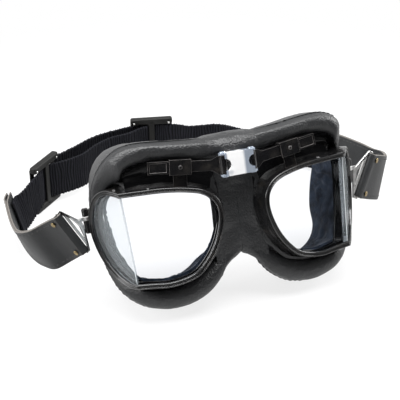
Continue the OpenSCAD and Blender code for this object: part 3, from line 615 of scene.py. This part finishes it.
# lighter enamel for the eased edges: partly wear, partly painted highlight lines along the edges
edge_wear_and_highlight = Finish("edge_enamel_wear_and_highlight")
flecks = edge_wear_and_highlight.grain(0.0009, 4)
patches = flecks * edge_wear_and_highlight.grain(0.006, 2) * 1.8
edge_wear_and_highlight.done(edge_wear_and_highlight.shade(
    Base_Color=edge_wear_and_highlight.tint(patches, (0.006, 0.006, 0.006), (0.11, 0.10, 0.095)), Metallic=0.3,
    Roughness=0.3 + 0.2 * flecks))

RIM_BEAD = np.concatenate([
    smooth_line([[3.0, -3.5], [3.02, -1.5], [3.02, 0.6], [2.95, 1.5], [2.6, 1.95], [2.2, 1.9], [1.9, 1.35],
                 [1.5, 1.2], [1.1, 1.35], [0.8, 1.9], [0.45, 2.0], [0.08, 1.6], [0.0, 0.7], [0.0, 0.03]], 4),
    [[1.2, 0.02], [2.4, 0.0], [2.42, -1.8], [2.42, -3.5]]])
for name, side in SIDES:
    k = np.arange(0, 23, 1 / 8)[:, None]
    rim = round_eye(k, RIM_BEAD[None, :, 0], RIM_BEAD[None, :, 1])
    piece = skin(f"rim_bead_{name}", lean_back(rim * [side, 1, 1]), sharp=35)
    piece.data.materials.append(enamel.material)
    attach(piece, f"{name}_eye")
    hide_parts(f"rim_{name}")
    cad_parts[f"eyecup_{name}"].data.materials.clear()
    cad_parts[f"eyecup_{name}"].data.materials.append(enamel.material)

# Rim screws: small round heads, slotted, that draw each rim together over the bend of its panes.
SCREW_R, SCREW_RISE, SLOT_DEEP = 1.25, 0.75, 0.45


def dome(middle, facing, radius, rise, slot=0.0, rounds=20, rings=7):
    """Grid of a round head: rings whose radius falls as the cosine and whose height grows as the sine
    of the way to the top, with a slot pressed in along one diameter."""
    up = facing / np.linalg.norm(facing)
    side = np.cross(up, [0.0, 0.0, 1.0])
    side = side / np.linalg.norm(side)
    ahead = np.cross(up, side)
    a = np.linspace(-0.5, np.pi / 2 - 0.02, rings)[:, None]
    b = np.linspace(0, 2 * np.pi, rounds + 1)[None, :-1]
    x, y = radius * np.cos(a) * np.cos(b), radius * np.cos(a) * np.sin(b)
    h = rise * np.sin(a) - slot * rise * (np.abs(y) < radius * 0.2) * (a > 0.4)
    return middle + side * x[..., None] + ahead * y[..., None] + up * (h + 0 * b)[..., None]


for name, side in SIDES:
    for number, k in enumerate((1.4, 22.0)):
        k = np.array(k)
        seat = round_eye(k, np.array(3.0), np.array(-0.6))
        facing = round_eye(k, np.array(5.0), np.array(-0.3)) - seat
        head = dome(seat, facing, SCREW_R, SCREW_RISE, slot=SLOT_DEEP) * [side, 1, 1]
        piece = skin(f"rim_screw_{number + 1}_{name}", lean_back(head), closed=(False, True), ends=True)
        piece.data.materials.append(enamel.material)
        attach(piece, f"{name}_eye")

# Panes: flat clear glass, two to an eye, with a ground edge where they butt. The side panes are given
# a matt share, which stands for the pale veil of light on them.
glass = {}
for pane, through, least, mirror in (("front", (0.965, 0.97, 0.98, 1), 0.02, 1.0),
                                     ("side", (0.86, 0.87, 0.885, 1), 0.06, 0.0)):
    sheet = Finish(f"clear_glass_{pane}")
    gloss = sheet.shade(Base_Color=(0.75, 0.8, 0.82, 1), Metallic=mirror,
                        Roughness=0.03 + 0.04 * sheet.grain(0.02, 3))
    clear = sheet.node("BsdfTransparent", sockets={0: through})
    facing = sheet.node("LayerWeight", sockets={0: 0.25})
    glass[pane] = sheet.done(sheet.node("MixShader", sockets={0: facing * 0.4 + least, 1: clear, 2: gloss}))
BUTT_R = 0.22
ground = Finish("ground_glass")
ground.done(ground.shade(Base_Color=ground.tint(ground.grain(0.0008), (0.40, 0.44, 0.46), (0.62, 0.65, 0.66)),
                         Roughness=0.5))
for name, side in SIDES:
    for pane in glass:
        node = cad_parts[f"{pane}_lens_{name}"]
        node.data.materials.clear()
        node.data.materials.append(glass[pane])
    height = np.linspace(-1.0, PANE_HEIGHT + 1.0, 20)[:, None]
    turn = np.linspace(0, 2 * np.pi, 9)[None, :-1]
    bead = np.stack([BUTT_R * np.cos(turn) + 0 * height, 0.12 + BUTT_R * np.sin(turn) + 0 * height,
                     height + 0 * turn], -1)
    butt = lean_back(tip_out(bead) * [side, 1, 1])
    piece = skin(f"glass_butt_{name}", butt, closed=(False, True), ends=True)
    piece.data.materials.append(ground.material)
    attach(piece, f"{name}_eye")


# Metalwork: the bright link and its pins, the black arms in their sleeves, the temple brackets and
# the strap plates. Each is the imported shape with its edges eased as by tumbling, and the enamel is
# lighter along them, partly as wear and partly as painted highlight lines.
def eased(node, body, finish, width, rounds=3):
    """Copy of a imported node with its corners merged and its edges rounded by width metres."""
    shape = bmesh.new()
    shape.from_mesh(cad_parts[node].data)
    bmesh.ops.remove_doubles(shape, verts=shape.verts, dist=1e-6)
    bmesh.ops.dissolve_limit(shape, angle_limit=0.01, verts=shape.verts, edges=shape.edges)
    mesh = bpy.data.meshes.new(node + "_eased")
    shape.to_mesh(mesh)
    shape.free()
    mesh.shade_smooth()
    mesh.set_sharp_from_angle(angle=np.radians(30))
    mesh.materials.append(finish.material)
    # the rounded edges take the lighter enamel: partly wear and partly painted highlight
    if finish is enamel:
        mesh.materials.append(edge_wear_and_highlight.material)
    piece = bpy.data.objects.new(node + "_eased", mesh)
    bpy.context.scene.collection.objects.link(piece)
    bevel = piece.modifiers.new("eased", "BEVEL")
    bevel.width, bevel.segments, bevel.limit_method = width, rounds, "ANGLE"
    bevel.angle_limit = np.radians(30)
    bevel.harden_normals = True
    bevel.material = 1 if finish is enamel else -1
    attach(piece, body)
    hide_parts(node)
    return piece


chrome = Finish("chrome")
hairs = chrome.node("TexNoise", sockets={0: chrome.stretched((1, 1, 14)), "Scale": 900.0, "Detail": 3.0})
cloudy = chrome.grain(0.009, 1.0)
along_x = chrome.node("SeparateXYZ", sockets={0: chrome.place()})
# painted reflection: the grey-blue right side and left end, and the grey clouds, stand for what so bright a
# link reflects
painted_reflection_right = chrome.ramp(along_x, -0.0085, -0.0035)
painted_reflection_left = 1 - chrome.ramp(along_x, -0.0175, -0.0150)
painted_reflection = painted_reflection_right | painted_reflection_left | 0.6 * chrome.ramp(cloudy, 0.5, 0.7)
chrome.done(chrome.shade(
    Base_Color=chrome.tint(painted_reflection, (1.0, 1.0, 1.0), (0.30, 0.34, 0.40)), Metallic=0.4,
    Roughness=0.05 + 0.10 * hairs, Normal=chrome.bump(cloudy + hairs * 0.01, 0.0012)))
nickel = Finish("nickel")
polish = nickel.grain(0.004, 4)
nickel.done(nickel.shade(Base_Color=nickel.tint(polish, (0.78, 0.77, 0.75), (0.95, 0.95, 0.94)), Metallic=1.0,
                         Roughness=0.24 + 0.16 * polish, Normal=nickel.bump(polish, 0.00004)))
eased("bridge_link", "bridge", chrome, 0.00018)
for name, side in SIDES:
    eased(f"bridge_pin_{name}", "bridge", chrome, 0.00012)
    eased(f"bridge_arm_{name}", f"{name}_eye", enamel, 0.00022)
    eased(f"sleeve_{name}", f"{name}_eye", enamel, 0.0002)
    eased(f"side_bracket_{name}", f"{name}_eye", enamel, 0.0002)
    eased(f"bracket_pin_{name}", f"{name}_eye", enamel, 0.0001)
    eased(f"strap_plate_{name}", f"{name}_plate", nickel, 0.0002)

# Leather tabs: two plies of strap leather, one length folded round the plate's bar and stitched along
# both edges.
strap_leather = Finish("strap_leather")
cut = strap_leather.attribute("cut_edge")
strap_pores = strap_leather.pebbles(0.0008)
strap_tone = strap_leather.grain(0.012, 4)
strap_face = strap_leather.tint(strap_tone, (0.006, 0.0065, 0.007), (0.014, 0.015, 0.016))
strap_leather.done(strap_leather.shade(
    Base_Color=strap_leather.blend(cut, strap_face, (0.12, 0.11, 0.10, 1)),
    Roughness=0.42 + 0.2 * strap_tone, Specular_IOR_Level=0.4,
    Normal=strap_leather.bump(strap_pores * 0.5 + strap_tone * 0.5, 0.00012)))
thread = Finish("thread")
thread.done(thread.shade(
    Base_Color=thread.tint(thread.grain(0.0005), (0.015, 0.015, 0.015), (0.04, 0.04, 0.04)),
    Roughness=0.7))

TAB_ROWS = {
    "left": [[-93.5, 39.3, 29.5, -108.7, 47.7, 52], [-101.8, 45.8, 22, -115.6, 54.5, 46],
             [-104.9, 62.6, 15, -119.4, 67.4, 40], [-105.8, 81.7, 8, -118.3, 86.7, 34],
             [-106.1, 104, 2.5, -115.3, 110.8, 29], [-106, 124.3, 1, -112.6, 129, 28.5],
             [-103, 133, 1, -109, 138, 29]],
    "right": [[104, 41.5, 29, 115.5, 50, 55], [114.9, 54, 21, 125.7, 64, 47.5],
              [124.5, 77.5, 12, 132.9, 82.5, 39], [129.5, 98, 4, 136.5, 102.4, 32],
              [129.8, 114, 1.2, 135, 118, 29.5], [123.5, 132, 1, 126.5, 136, 29.5],
              [116.5, 141, 1, 118.5, 144.5, 29.5]]}
SWING = {"left": 17, "right": -9}
DROOP = np.radians(27.5)
PIN_OUT, PIN_OFF, PIN_HEIGHT = 29.6, 0.5, 40
TAB_WIDTH, TAB_PLY = 29.0, 1.05


def at_plate(side, swing, out, up, off):
    """Point on a plate's frame: out from its hinge pin, up along its bar and off its face, drooped,
    swung, and leaned back with the eye. The pin stands PIN_OUT along the side pane and PIN_OFF it."""
    turn = np.radians(-swing)
    across = out * np.cos(DROOP) + up * np.sin(DROOP)
    rise = up * np.cos(DROOP) - out * np.sin(DROOP)
    c, s = np.cos(np.radians(SIDE_SWEEP)), np.sin(np.radians(SIDE_SWEEP))
    foot = np.array([PIN_OUT * c + PIN_OFF * s, PIN_OUT * s - PIN_OFF * c])
    x = foot[0] + across * np.cos(turn) - off * np.sin(turn)
    y = foot[1] + across * np.sin(turn) + off * np.cos(turn)
    return lean_back(tip_out(np.stack([x, y, PIN_HEIGHT + rise], -1)) * [side, 1, 1])


def along_rows(rows, width, steps):
    """Lower and upper edge of a band in metres: smooth lines through the rows, the upper set width
    above the lower."""
    r = np.asarray(rows, float).reshape(-1, 2, 3)
    tall = r[:, 1] - r[:, 0]
    r = np.stack([r[:, 0], r[:, 0] + tall / length(tall) * width], 1)
    line = smooth_line(r, steps)
    tall = line[:, 1] - line[:, 0]
    line[:, 1] = line[:, 0] + tall / length(tall) * width
    return line * MM - TABLE_CENTRE


def ply(edges, thick, corner=0.0004, columns=24):
    """Flat strip with rounded edges between the two edges of a band: across it goes from one corner
    to the other, and each corner is a quarter circle above and one below. Returns the grid and a mark
    of 1 on its cut edges."""
    low, high = edges[:, 0], edges[:, 1]
    up = (high - low) / length(high - low)
    off = np.cross(np.gradient((low + high) / 2, axis=0), up)
    off = off / length(off)
    width = length(high - low)
    flat, arc = np.linspace(0, 1, columns), np.radians([30, 60, 90])
    over, under, level = corner * np.sin(arc), corner * np.sin(arc[::-1]), np.full(columns, thick / 2)
    fall, rise = thick / 2 - corner * (1 - np.cos(arc)), thick / 2 - corner * (1 - np.cos(arc[::-1]))
    share = np.concatenate([flat, np.ones(6), flat[::-1], np.zeros(6)])
    beyond = np.concatenate([0 * flat, over, under, 0 * flat, -over, -under])
    lift = np.concatenate([level, fall, -rise, -level, -fall, rise])
    place = corner + (width - 2 * corner) * share + beyond
    grid = low[:, None] + up[:, None] * place[..., None] + off[:, None] * lift[None, :, None]
    return grid, np.broadcast_to(beyond != 0, grid.shape[:2])


BAR_HALF, PLY_APART, CLASP = 0.7, 0.55, 1.3
SLOT_TURN, TURN_R = 12.5, 1.25
NEAR_END = 19


def tab_band(name, side):
    """Middle of a tab from its bar to the elastic, and how far its plies stand off it: apart by the
    bar and by the elastic, and close between."""
    out = np.array([SLOT_TURN, 13.2, 13.9, 14.7])
    edges = np.stack([at_plate(side, SWING[name], out, up, 0 * out)
                      for up in (-TAB_WIDTH / 2, TAB_WIDTH / 2)], 1)
    first = (edges[-1] + TABLE_CENTRE) / MM
    band = np.concatenate([edges[:-1], along_rows([first.ravel().tolist()] + TAB_ROWS[name], TAB_WIDTH, 10)])
    gone = np.concatenate([[0], np.cumsum(length(np.diff(band.mean(1), axis=0))[:, 0])]) / MM
    bar = np.clip(1 - (gone - 1.5) / 5, 0, 1) ** 2
    clasp = np.clip(1 - (gone[-1] - gone - 8) / 6, 0, 1) ** 2
    apart = PLY_APART + (BAR_HALF + 0.53 - PLY_APART) * bar + (CLASP - PLY_APART) * clasp
    up = band[:, 1] - band[:, 0]
    off = np.cross(np.gradient(band.mean(1), axis=0), up)
    return band, off / length(off) * apart[:, None] * MM


tabs = {}
for name, side in SIDES:
    band, off = tab_band(name, side)
    tabs[name] = (band, off)
    upper, lower = band + off[:, None], band - off[:, None]
    turn = np.radians(np.linspace(-90, 90, 13)[1:-1])[:, None, None]
    inward = band[0] - band[2]
    inward = inward / length(inward) * TURN_R * MM
    bend = band[0] + inward * np.cos(turn) + off[0] * np.sin(turn)
    hairpin = np.concatenate([lower[NEAR_END:0:-1], lower[:1], bend, upper[:1], upper[1:NEAR_END + 1]])
    shapes = {"near": (hairpin, (f"{name}_plate", f"{name}_eye"), band[0], band[NEAR_END]),
              "far_upper": (upper[NEAR_END:], (f"{name}_eye", "bridge"), band[NEAR_END], band[-1]),
              "far_lower": (lower[NEAR_END:], (f"{name}_eye", "bridge"), band[NEAR_END], band[-1])}
    for part, (edges, bodies, a, b) in shapes.items():
        grid, mark = ply(edges, TAB_PLY * MM)
        piece = skin(f"tab_{part}_{name}", grid, closed=(False, True), ends=True, sharp=50,
                     marks={"cut_edge": mark})
        piece.data.materials.append(strap_leather.material)
        if part == "near":
            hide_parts(f"leather_tab_{name}")
        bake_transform(piece)


# Stitches: waxed thread along both edges of each tab, 3 mm to a stitch, sunk a little in the leather.
def stitches(band, inset, pitch=0.0031, long=0.0021, thick=0.00028):
    """One grid for each stitch: an ellipsoid whose long axis follows the band, set in from its lower
    edge, or from its upper edge where inset is negative."""
    low, high = band[:, 0], band[:, 1]
    up = (high - low) / length(high - low)
    line = (low if inset > 0 else high) + up * inset
    gone = np.concatenate([[0], np.cumsum(length(np.diff(line, axis=0))[:, 0])])
    spots = np.arange(0.002, gone[-1] - 0.002, pitch)
    at = np.stack([np.interp(spots, gone, line[:, i]) for i in range(3)], -1)
    way = np.stack([np.interp(spots + 0.0005, gone, line[:, i]) for i in range(3)], -1) - at
    way = way / length(way)
    tall = np.stack([np.interp(spots, gone, up[:, i]) for i in range(3)], -1)
    out = np.cross(way, tall)
    out = out / length(out)
    a = np.linspace(0, np.pi, 6)[:, None]
    b = np.linspace(0, 2 * np.pi, 7)[None, :-1]
    share = np.stack([np.cos(a) + 0 * b, np.sin(a) * np.cos(b), np.sin(a) * np.sin(b)]) * np.array(
        [long / 2, thick, thick])[:, None, None]
    frames = np.stack([way, tall, out], 1)
    return at[:, None, None] + np.einsum("cmn,pcx->pmnx", share, frames)


for name, side in SIDES:
    band, off = tabs[name]
    stand = off + off / length(off) * TAB_PLY / 2 * MM
    for part, lo, hi in (("near", 3, NEAR_END + 1), ("far", NEAR_END, len(band))):
        grids = np.concatenate([stitches((band + face * stand[:, None])[lo:hi], inset)
                                for inset in (0.0024, -0.0024) for face in (1, -1)])
        count, m, n = grids.shape[:3]
        i, j = np.arange(m - 1)[:, None], np.arange(n)[None, :]
        quads = np.stack([i * n + j, i * n + (j + 1) % n, (i + 1) * n + (j + 1) % n, (i + 1) * n + j], -1)
        faces = ((np.arange(count) * m * n)[:, None, None, None] + quads).reshape(-1, 4)
        mesh = bpy.data.meshes.new(f"tab_stitches_{part}_{name}")
        mesh.from_pydata(grids.reshape(-1, 3).tolist(), [], faces.tolist())
        mesh.materials.append(thread.material)
        clean = bmesh.new()
        clean.from_mesh(mesh)
        bmesh.ops.remove_doubles(clean, verts=clean.verts, dist=1e-7)
        bmesh.ops.recalc_face_normals(clean, faces=clean.faces)
        clean.to_mesh(mesh)
        clean.free()
        mesh.shade_smooth()
        piece = bpy.data.objects.new(mesh.name, mesh)
        bpy.context.scene.collection.objects.link(piece)
        pair = (f"{name}_plate", f"{name}_eye") if part == "near" else (f"{name}_eye", "bridge")
        start, end = (band[0], band[NEAR_END]) if part == "near" else (band[NEAR_END], band[-1])
        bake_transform(piece)

# Rivets: brass, domed, two through each tab by its plate. They close the loop of leather round the
# plate's bar.
brass = Finish("brass")
brass.done(brass.shade(Base_Color=brass.tint(brass.grain(0.002, 4), (0.16, 0.12, 0.06), (0.42, 0.32, 0.16)),
                       Metallic=1.0, Roughness=0.22 + 0.2 * brass.grain(0.0015, 3)))
for name, side in SIDES:
    eased(f"tab_rivets_{name}", f"{name}_plate", brass, 0.0003, 4)

# Elastic: a ribbed, gathered black braid in two runs that pass each other between the sliders.
elastic = Finish("elastic")
rib = elastic.attribute("rib")
weave = elastic.grain(0.0007, 3)
# painted shade and highlight: the ribs' crests are coloured lighter than the grooves between them
elastic.done(elastic.shade(
    Base_Color=elastic.tint(rib * 0.7 + weave * 0.4, (0.002, 0.002, 0.003), (0.009, 0.0095, 0.013)),
    Roughness=0.8, Specular_IOR_Level=0.12, Normal=elastic.bump(weave, 0.00025)))

SLIDER = {"left": (-78.2, 164, 44), "right": (10.3, 200, -14)}
ELASTIC_WIDTH, STRAP_Z, RIB_PITCH, STEP = 25, 5, 0.0019, 0.00032


def upright_row(x, y):
    return [x, y, STRAP_Z, x, y, STRAP_Z + ELASTIC_WIDTH]


def strand(at, s, d):
    """Row of the elastic beside a slider: s along it and d behind it."""
    x, y, turn = at
    c, t = np.cos(np.radians(turn)), np.sin(np.radians(turn))
    return upright_row(x + s * c - d * t, y + s * t + d * c)


L, R = SLIDER["left"], SLIDER["right"]
ELASTIC_ROWS = {
    "left": [[-103.2, 123.9, 2, -109.2, 128.3, 26.5], [-100.3, 132.3, 2, -105.4, 136.6, 27],
             [-96.6, 137.5, 2, -100.6, 139.5, 27], [-91, 145.1, 3.5, -93.4, 146, 28.5],
             [-84.5, 153.5, 5.2, -85, 154.5, 30.2], strand(L, -2.6, 0), strand(L, 2.6, 0),
             upright_row(-69.5, 166.6), upright_row(-59.3, 168.8), upright_row(-48, 173.5),
             upright_row(-36, 183.5), upright_row(-23, 190.5), upright_row(-10, 192.5),
             strand(R, -8, -4.6), strand(R, -2.6, -2.2)],
    "right": [[118.3, 133.7, 2, 120.8, 137.5, 27], [114.1, 139.1, 2, 116.1, 142.6, 27],
              [106, 147.5, 2, 107.5, 150, 27], [95, 156, 2, 96, 157.5, 27], [83, 162, 3, 83.5, 163, 28],
              [70, 169, 4, 71, 168, 29], upright_row(56.5, 181.5), upright_row(43, 185.5),
              upright_row(34.5, 187.5), strand(R, 20, -3), strand(R, 12, -0.6), strand(R, 2.6, 0),
              strand(R, -2.6, 0), strand(R, -13, -0.6), upright_row(-21, 200), upright_row(-35.4, 195.5),
              upright_row(-50.8, 186), upright_row(-61, 180.3), strand(L, 15.6, 2.4)]}


def braid(rows, seed):
    """Grid of a ribbed band: ribs across it swell each face by up to 0.38 mm, and its two edges
    wander in and out with them."""
    coarse = along_rows(rows, ELASTIC_WIDTH, 12)
    mid = coarse.mean(1)
    gone = np.concatenate([[0], np.cumsum(length(np.diff(mid, axis=0))[:, 0])])
    spots = np.arange(0, gone[-1], STEP)
    fine = np.stack([np.stack([np.interp(spots, gone, coarse[:, e, i]) for i in range(3)], -1)
                     for e in (0, 1)], 1)
    along = np.gradient(fine.mean(1), axis=0)
    along = along / length(along)
    up = fine[:, 1] - fine[:, 0]
    up = up / length(up)
    off = np.cross(along, up)
    off = off / length(off)
    t = np.concatenate([np.linspace(0, 1, 26), [1.0], np.linspace(1, 0, 26), [0.0]])
    face = np.concatenate([np.ones(26), [0], -np.ones(26), [0]])
    flat = np.stack(np.broadcast_arrays(spots[:, None] / MM, ELASTIC_WIDTH * t, 9 * face), -1)
    wobble = crumple(flat, 9, seed, (1, 2.5, 9))
    drift = crumple(flat * [1, 0, 0], 30, seed + 1)
    phase = spots[:, None] / RIB_PITCH + 0.25 * wobble + 0.5 * drift
    rib = 0.5 + 0.5 * np.sin(2 * np.pi * phase)
    rib = rib ** 1.4
    pull = crumple(flat, 4.5, seed + 2, (1, 5, 1))
    thick = 0.00055 + 0.00038 * rib + 0.00012 * pull
    ruffle = 0.00022 * np.sin(2 * np.pi * phase / 2) * np.abs(2 * t - 1) ** 4
    edge_in = 0.00025 * (1 - rib) * np.sign(0.5 - t) * np.abs(2 * t - 1) ** 6
    place = (0.0003 + 0.0244 * t) + edge_in
    grid = (fine[:, :1] + up[:, None] * place[..., None]
            + off[:, None] * (face * thick + ruffle)[..., None])
    return grid, rib


for name, side in SIDES:
    grid, ribs = braid(ELASTIC_ROWS[name], 60 + side)
    piece = skin(f"elastic_braid_{name}", grid, closed=(False, True), ends=True, sharp=0, marks={"rib": ribs})
    piece.data.materials.append(elastic.material)
    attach(piece, "bridge")
    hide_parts(f"elastic_{name}")

# Sliders: moulded frames, matt dark grey, with thick rounded rails. The elastic runs behind the
# middle bar, and two small bright pins stand in the top rail.
plastic = Finish("slider_plastic")
mould = plastic.grain(0.0006, 3)
wear = plastic.grain(0.006, 5)
plastic.done(plastic.shade(
    Base_Color=plastic.tint(wear, (0.004, 0.004, 0.0038), (0.011, 0.011, 0.010)),
    Roughness=0.40 + 0.2 * wear, Specular_IOR_Level=0.2, Normal=plastic.bump(mould, 0.00005)))
SLIDER_H, HALF_L, HALF_T, BAR_W, RAIL_H, BAR_T = 35.0, 15.0, 2.5, 4.2, 4.9, 1.3
RAIL_ROUND, BAR_ROUND = 1.5, 0.5
BAR_UP, BEHIND = (2, 33), (HALF_T - BAR_T, HALF_T)
SLIDER_BARS = [  # along, across and up: from and to, and how far the edges are rounded
    ((-HALF_L, HALF_L), (-HALF_T, HALF_T), (0, RAIL_H), RAIL_ROUND),
    ((-HALF_L, HALF_L), (-HALF_T, HALF_T), (SLIDER_H - RAIL_H, SLIDER_H), RAIL_ROUND),
    ((-HALF_L, -HALF_L + BAR_W), BEHIND, BAR_UP, BAR_ROUND),
    ((HALF_L - BAR_W, HALF_L), BEHIND, BAR_UP, BAR_ROUND),
    ((-BAR_W / 2, BAR_W / 2), (-HALF_T, -HALF_T + BAR_T), BAR_UP, BAR_ROUND)]
PIN_AT, PIN_FACE, PIN_UP, PIN_R, PIN_RISE = (-12.4, 12.4), -2.45, 31.6, 0.8, 0.35


def slider_place(at, points):
    """From a slider's own frame to the table: turned, moved to its place and centred, in metres."""
    c, t = np.cos(np.radians(at[2])), np.sin(np.radians(at[2]))
    x, y, z = points[..., 0], points[..., 1], points[..., 2]
    return np.stack([at[0] + x * c - y * t, at[1] + x * t + y * c, z], -1) * MM - TABLE_CENTRE


for name, side in SIDES:
    moulded = bmesh.new()
    for spans in SLIDER_BARS:
        low, high = np.array(spans[:3]).T
        turned = Matrix.Rotation(np.radians(SLIDER[name][2]), 4, "Z")
        middle = Vector(slider_place(SLIDER[name], (low + high) / 2))
        scaled = Matrix.Diagonal((*((high - low) * MM), 1))
        bar = bmesh.ops.create_cube(moulded, matrix=Matrix.Translation(middle) @ turned @ scaled)["verts"]
        edges = {edge for vert in bar for edge in vert.link_edges}
        bmesh.ops.bevel(moulded, geom=list(edges), offset=spans[3] * MM, segments=5, profile=0.5,
                        affect="EDGES", clamp_overlap=True)
    mesh = bpy.data.meshes.new(f"slider_frame_{name}")
    moulded.to_mesh(mesh)
    moulded.free()
    mesh.shade_smooth()
    mesh.set_sharp_from_angle(angle=np.radians(40))
    mesh.materials.append(plastic.material)
    piece = bpy.data.objects.new(mesh.name, mesh)
    bpy.context.scene.collection.objects.link(piece)
    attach(piece, f"{name}_slider")
    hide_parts(f"slider_{name}")
    for number, x in enumerate(PIN_AT):
        head = dome(np.array([x, PIN_FACE, PIN_UP]), np.array([0.0, -1.0, 0.02]), PIN_R, PIN_RISE)
        head = slider_place(SLIDER[name], head)
        pin = skin(f"slider_pin_{number + 1}_{name}", head, closed=(False, True), ends=True)
        pin.data.materials.append(nickel.material)
        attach(pin, f"{name}_slider")
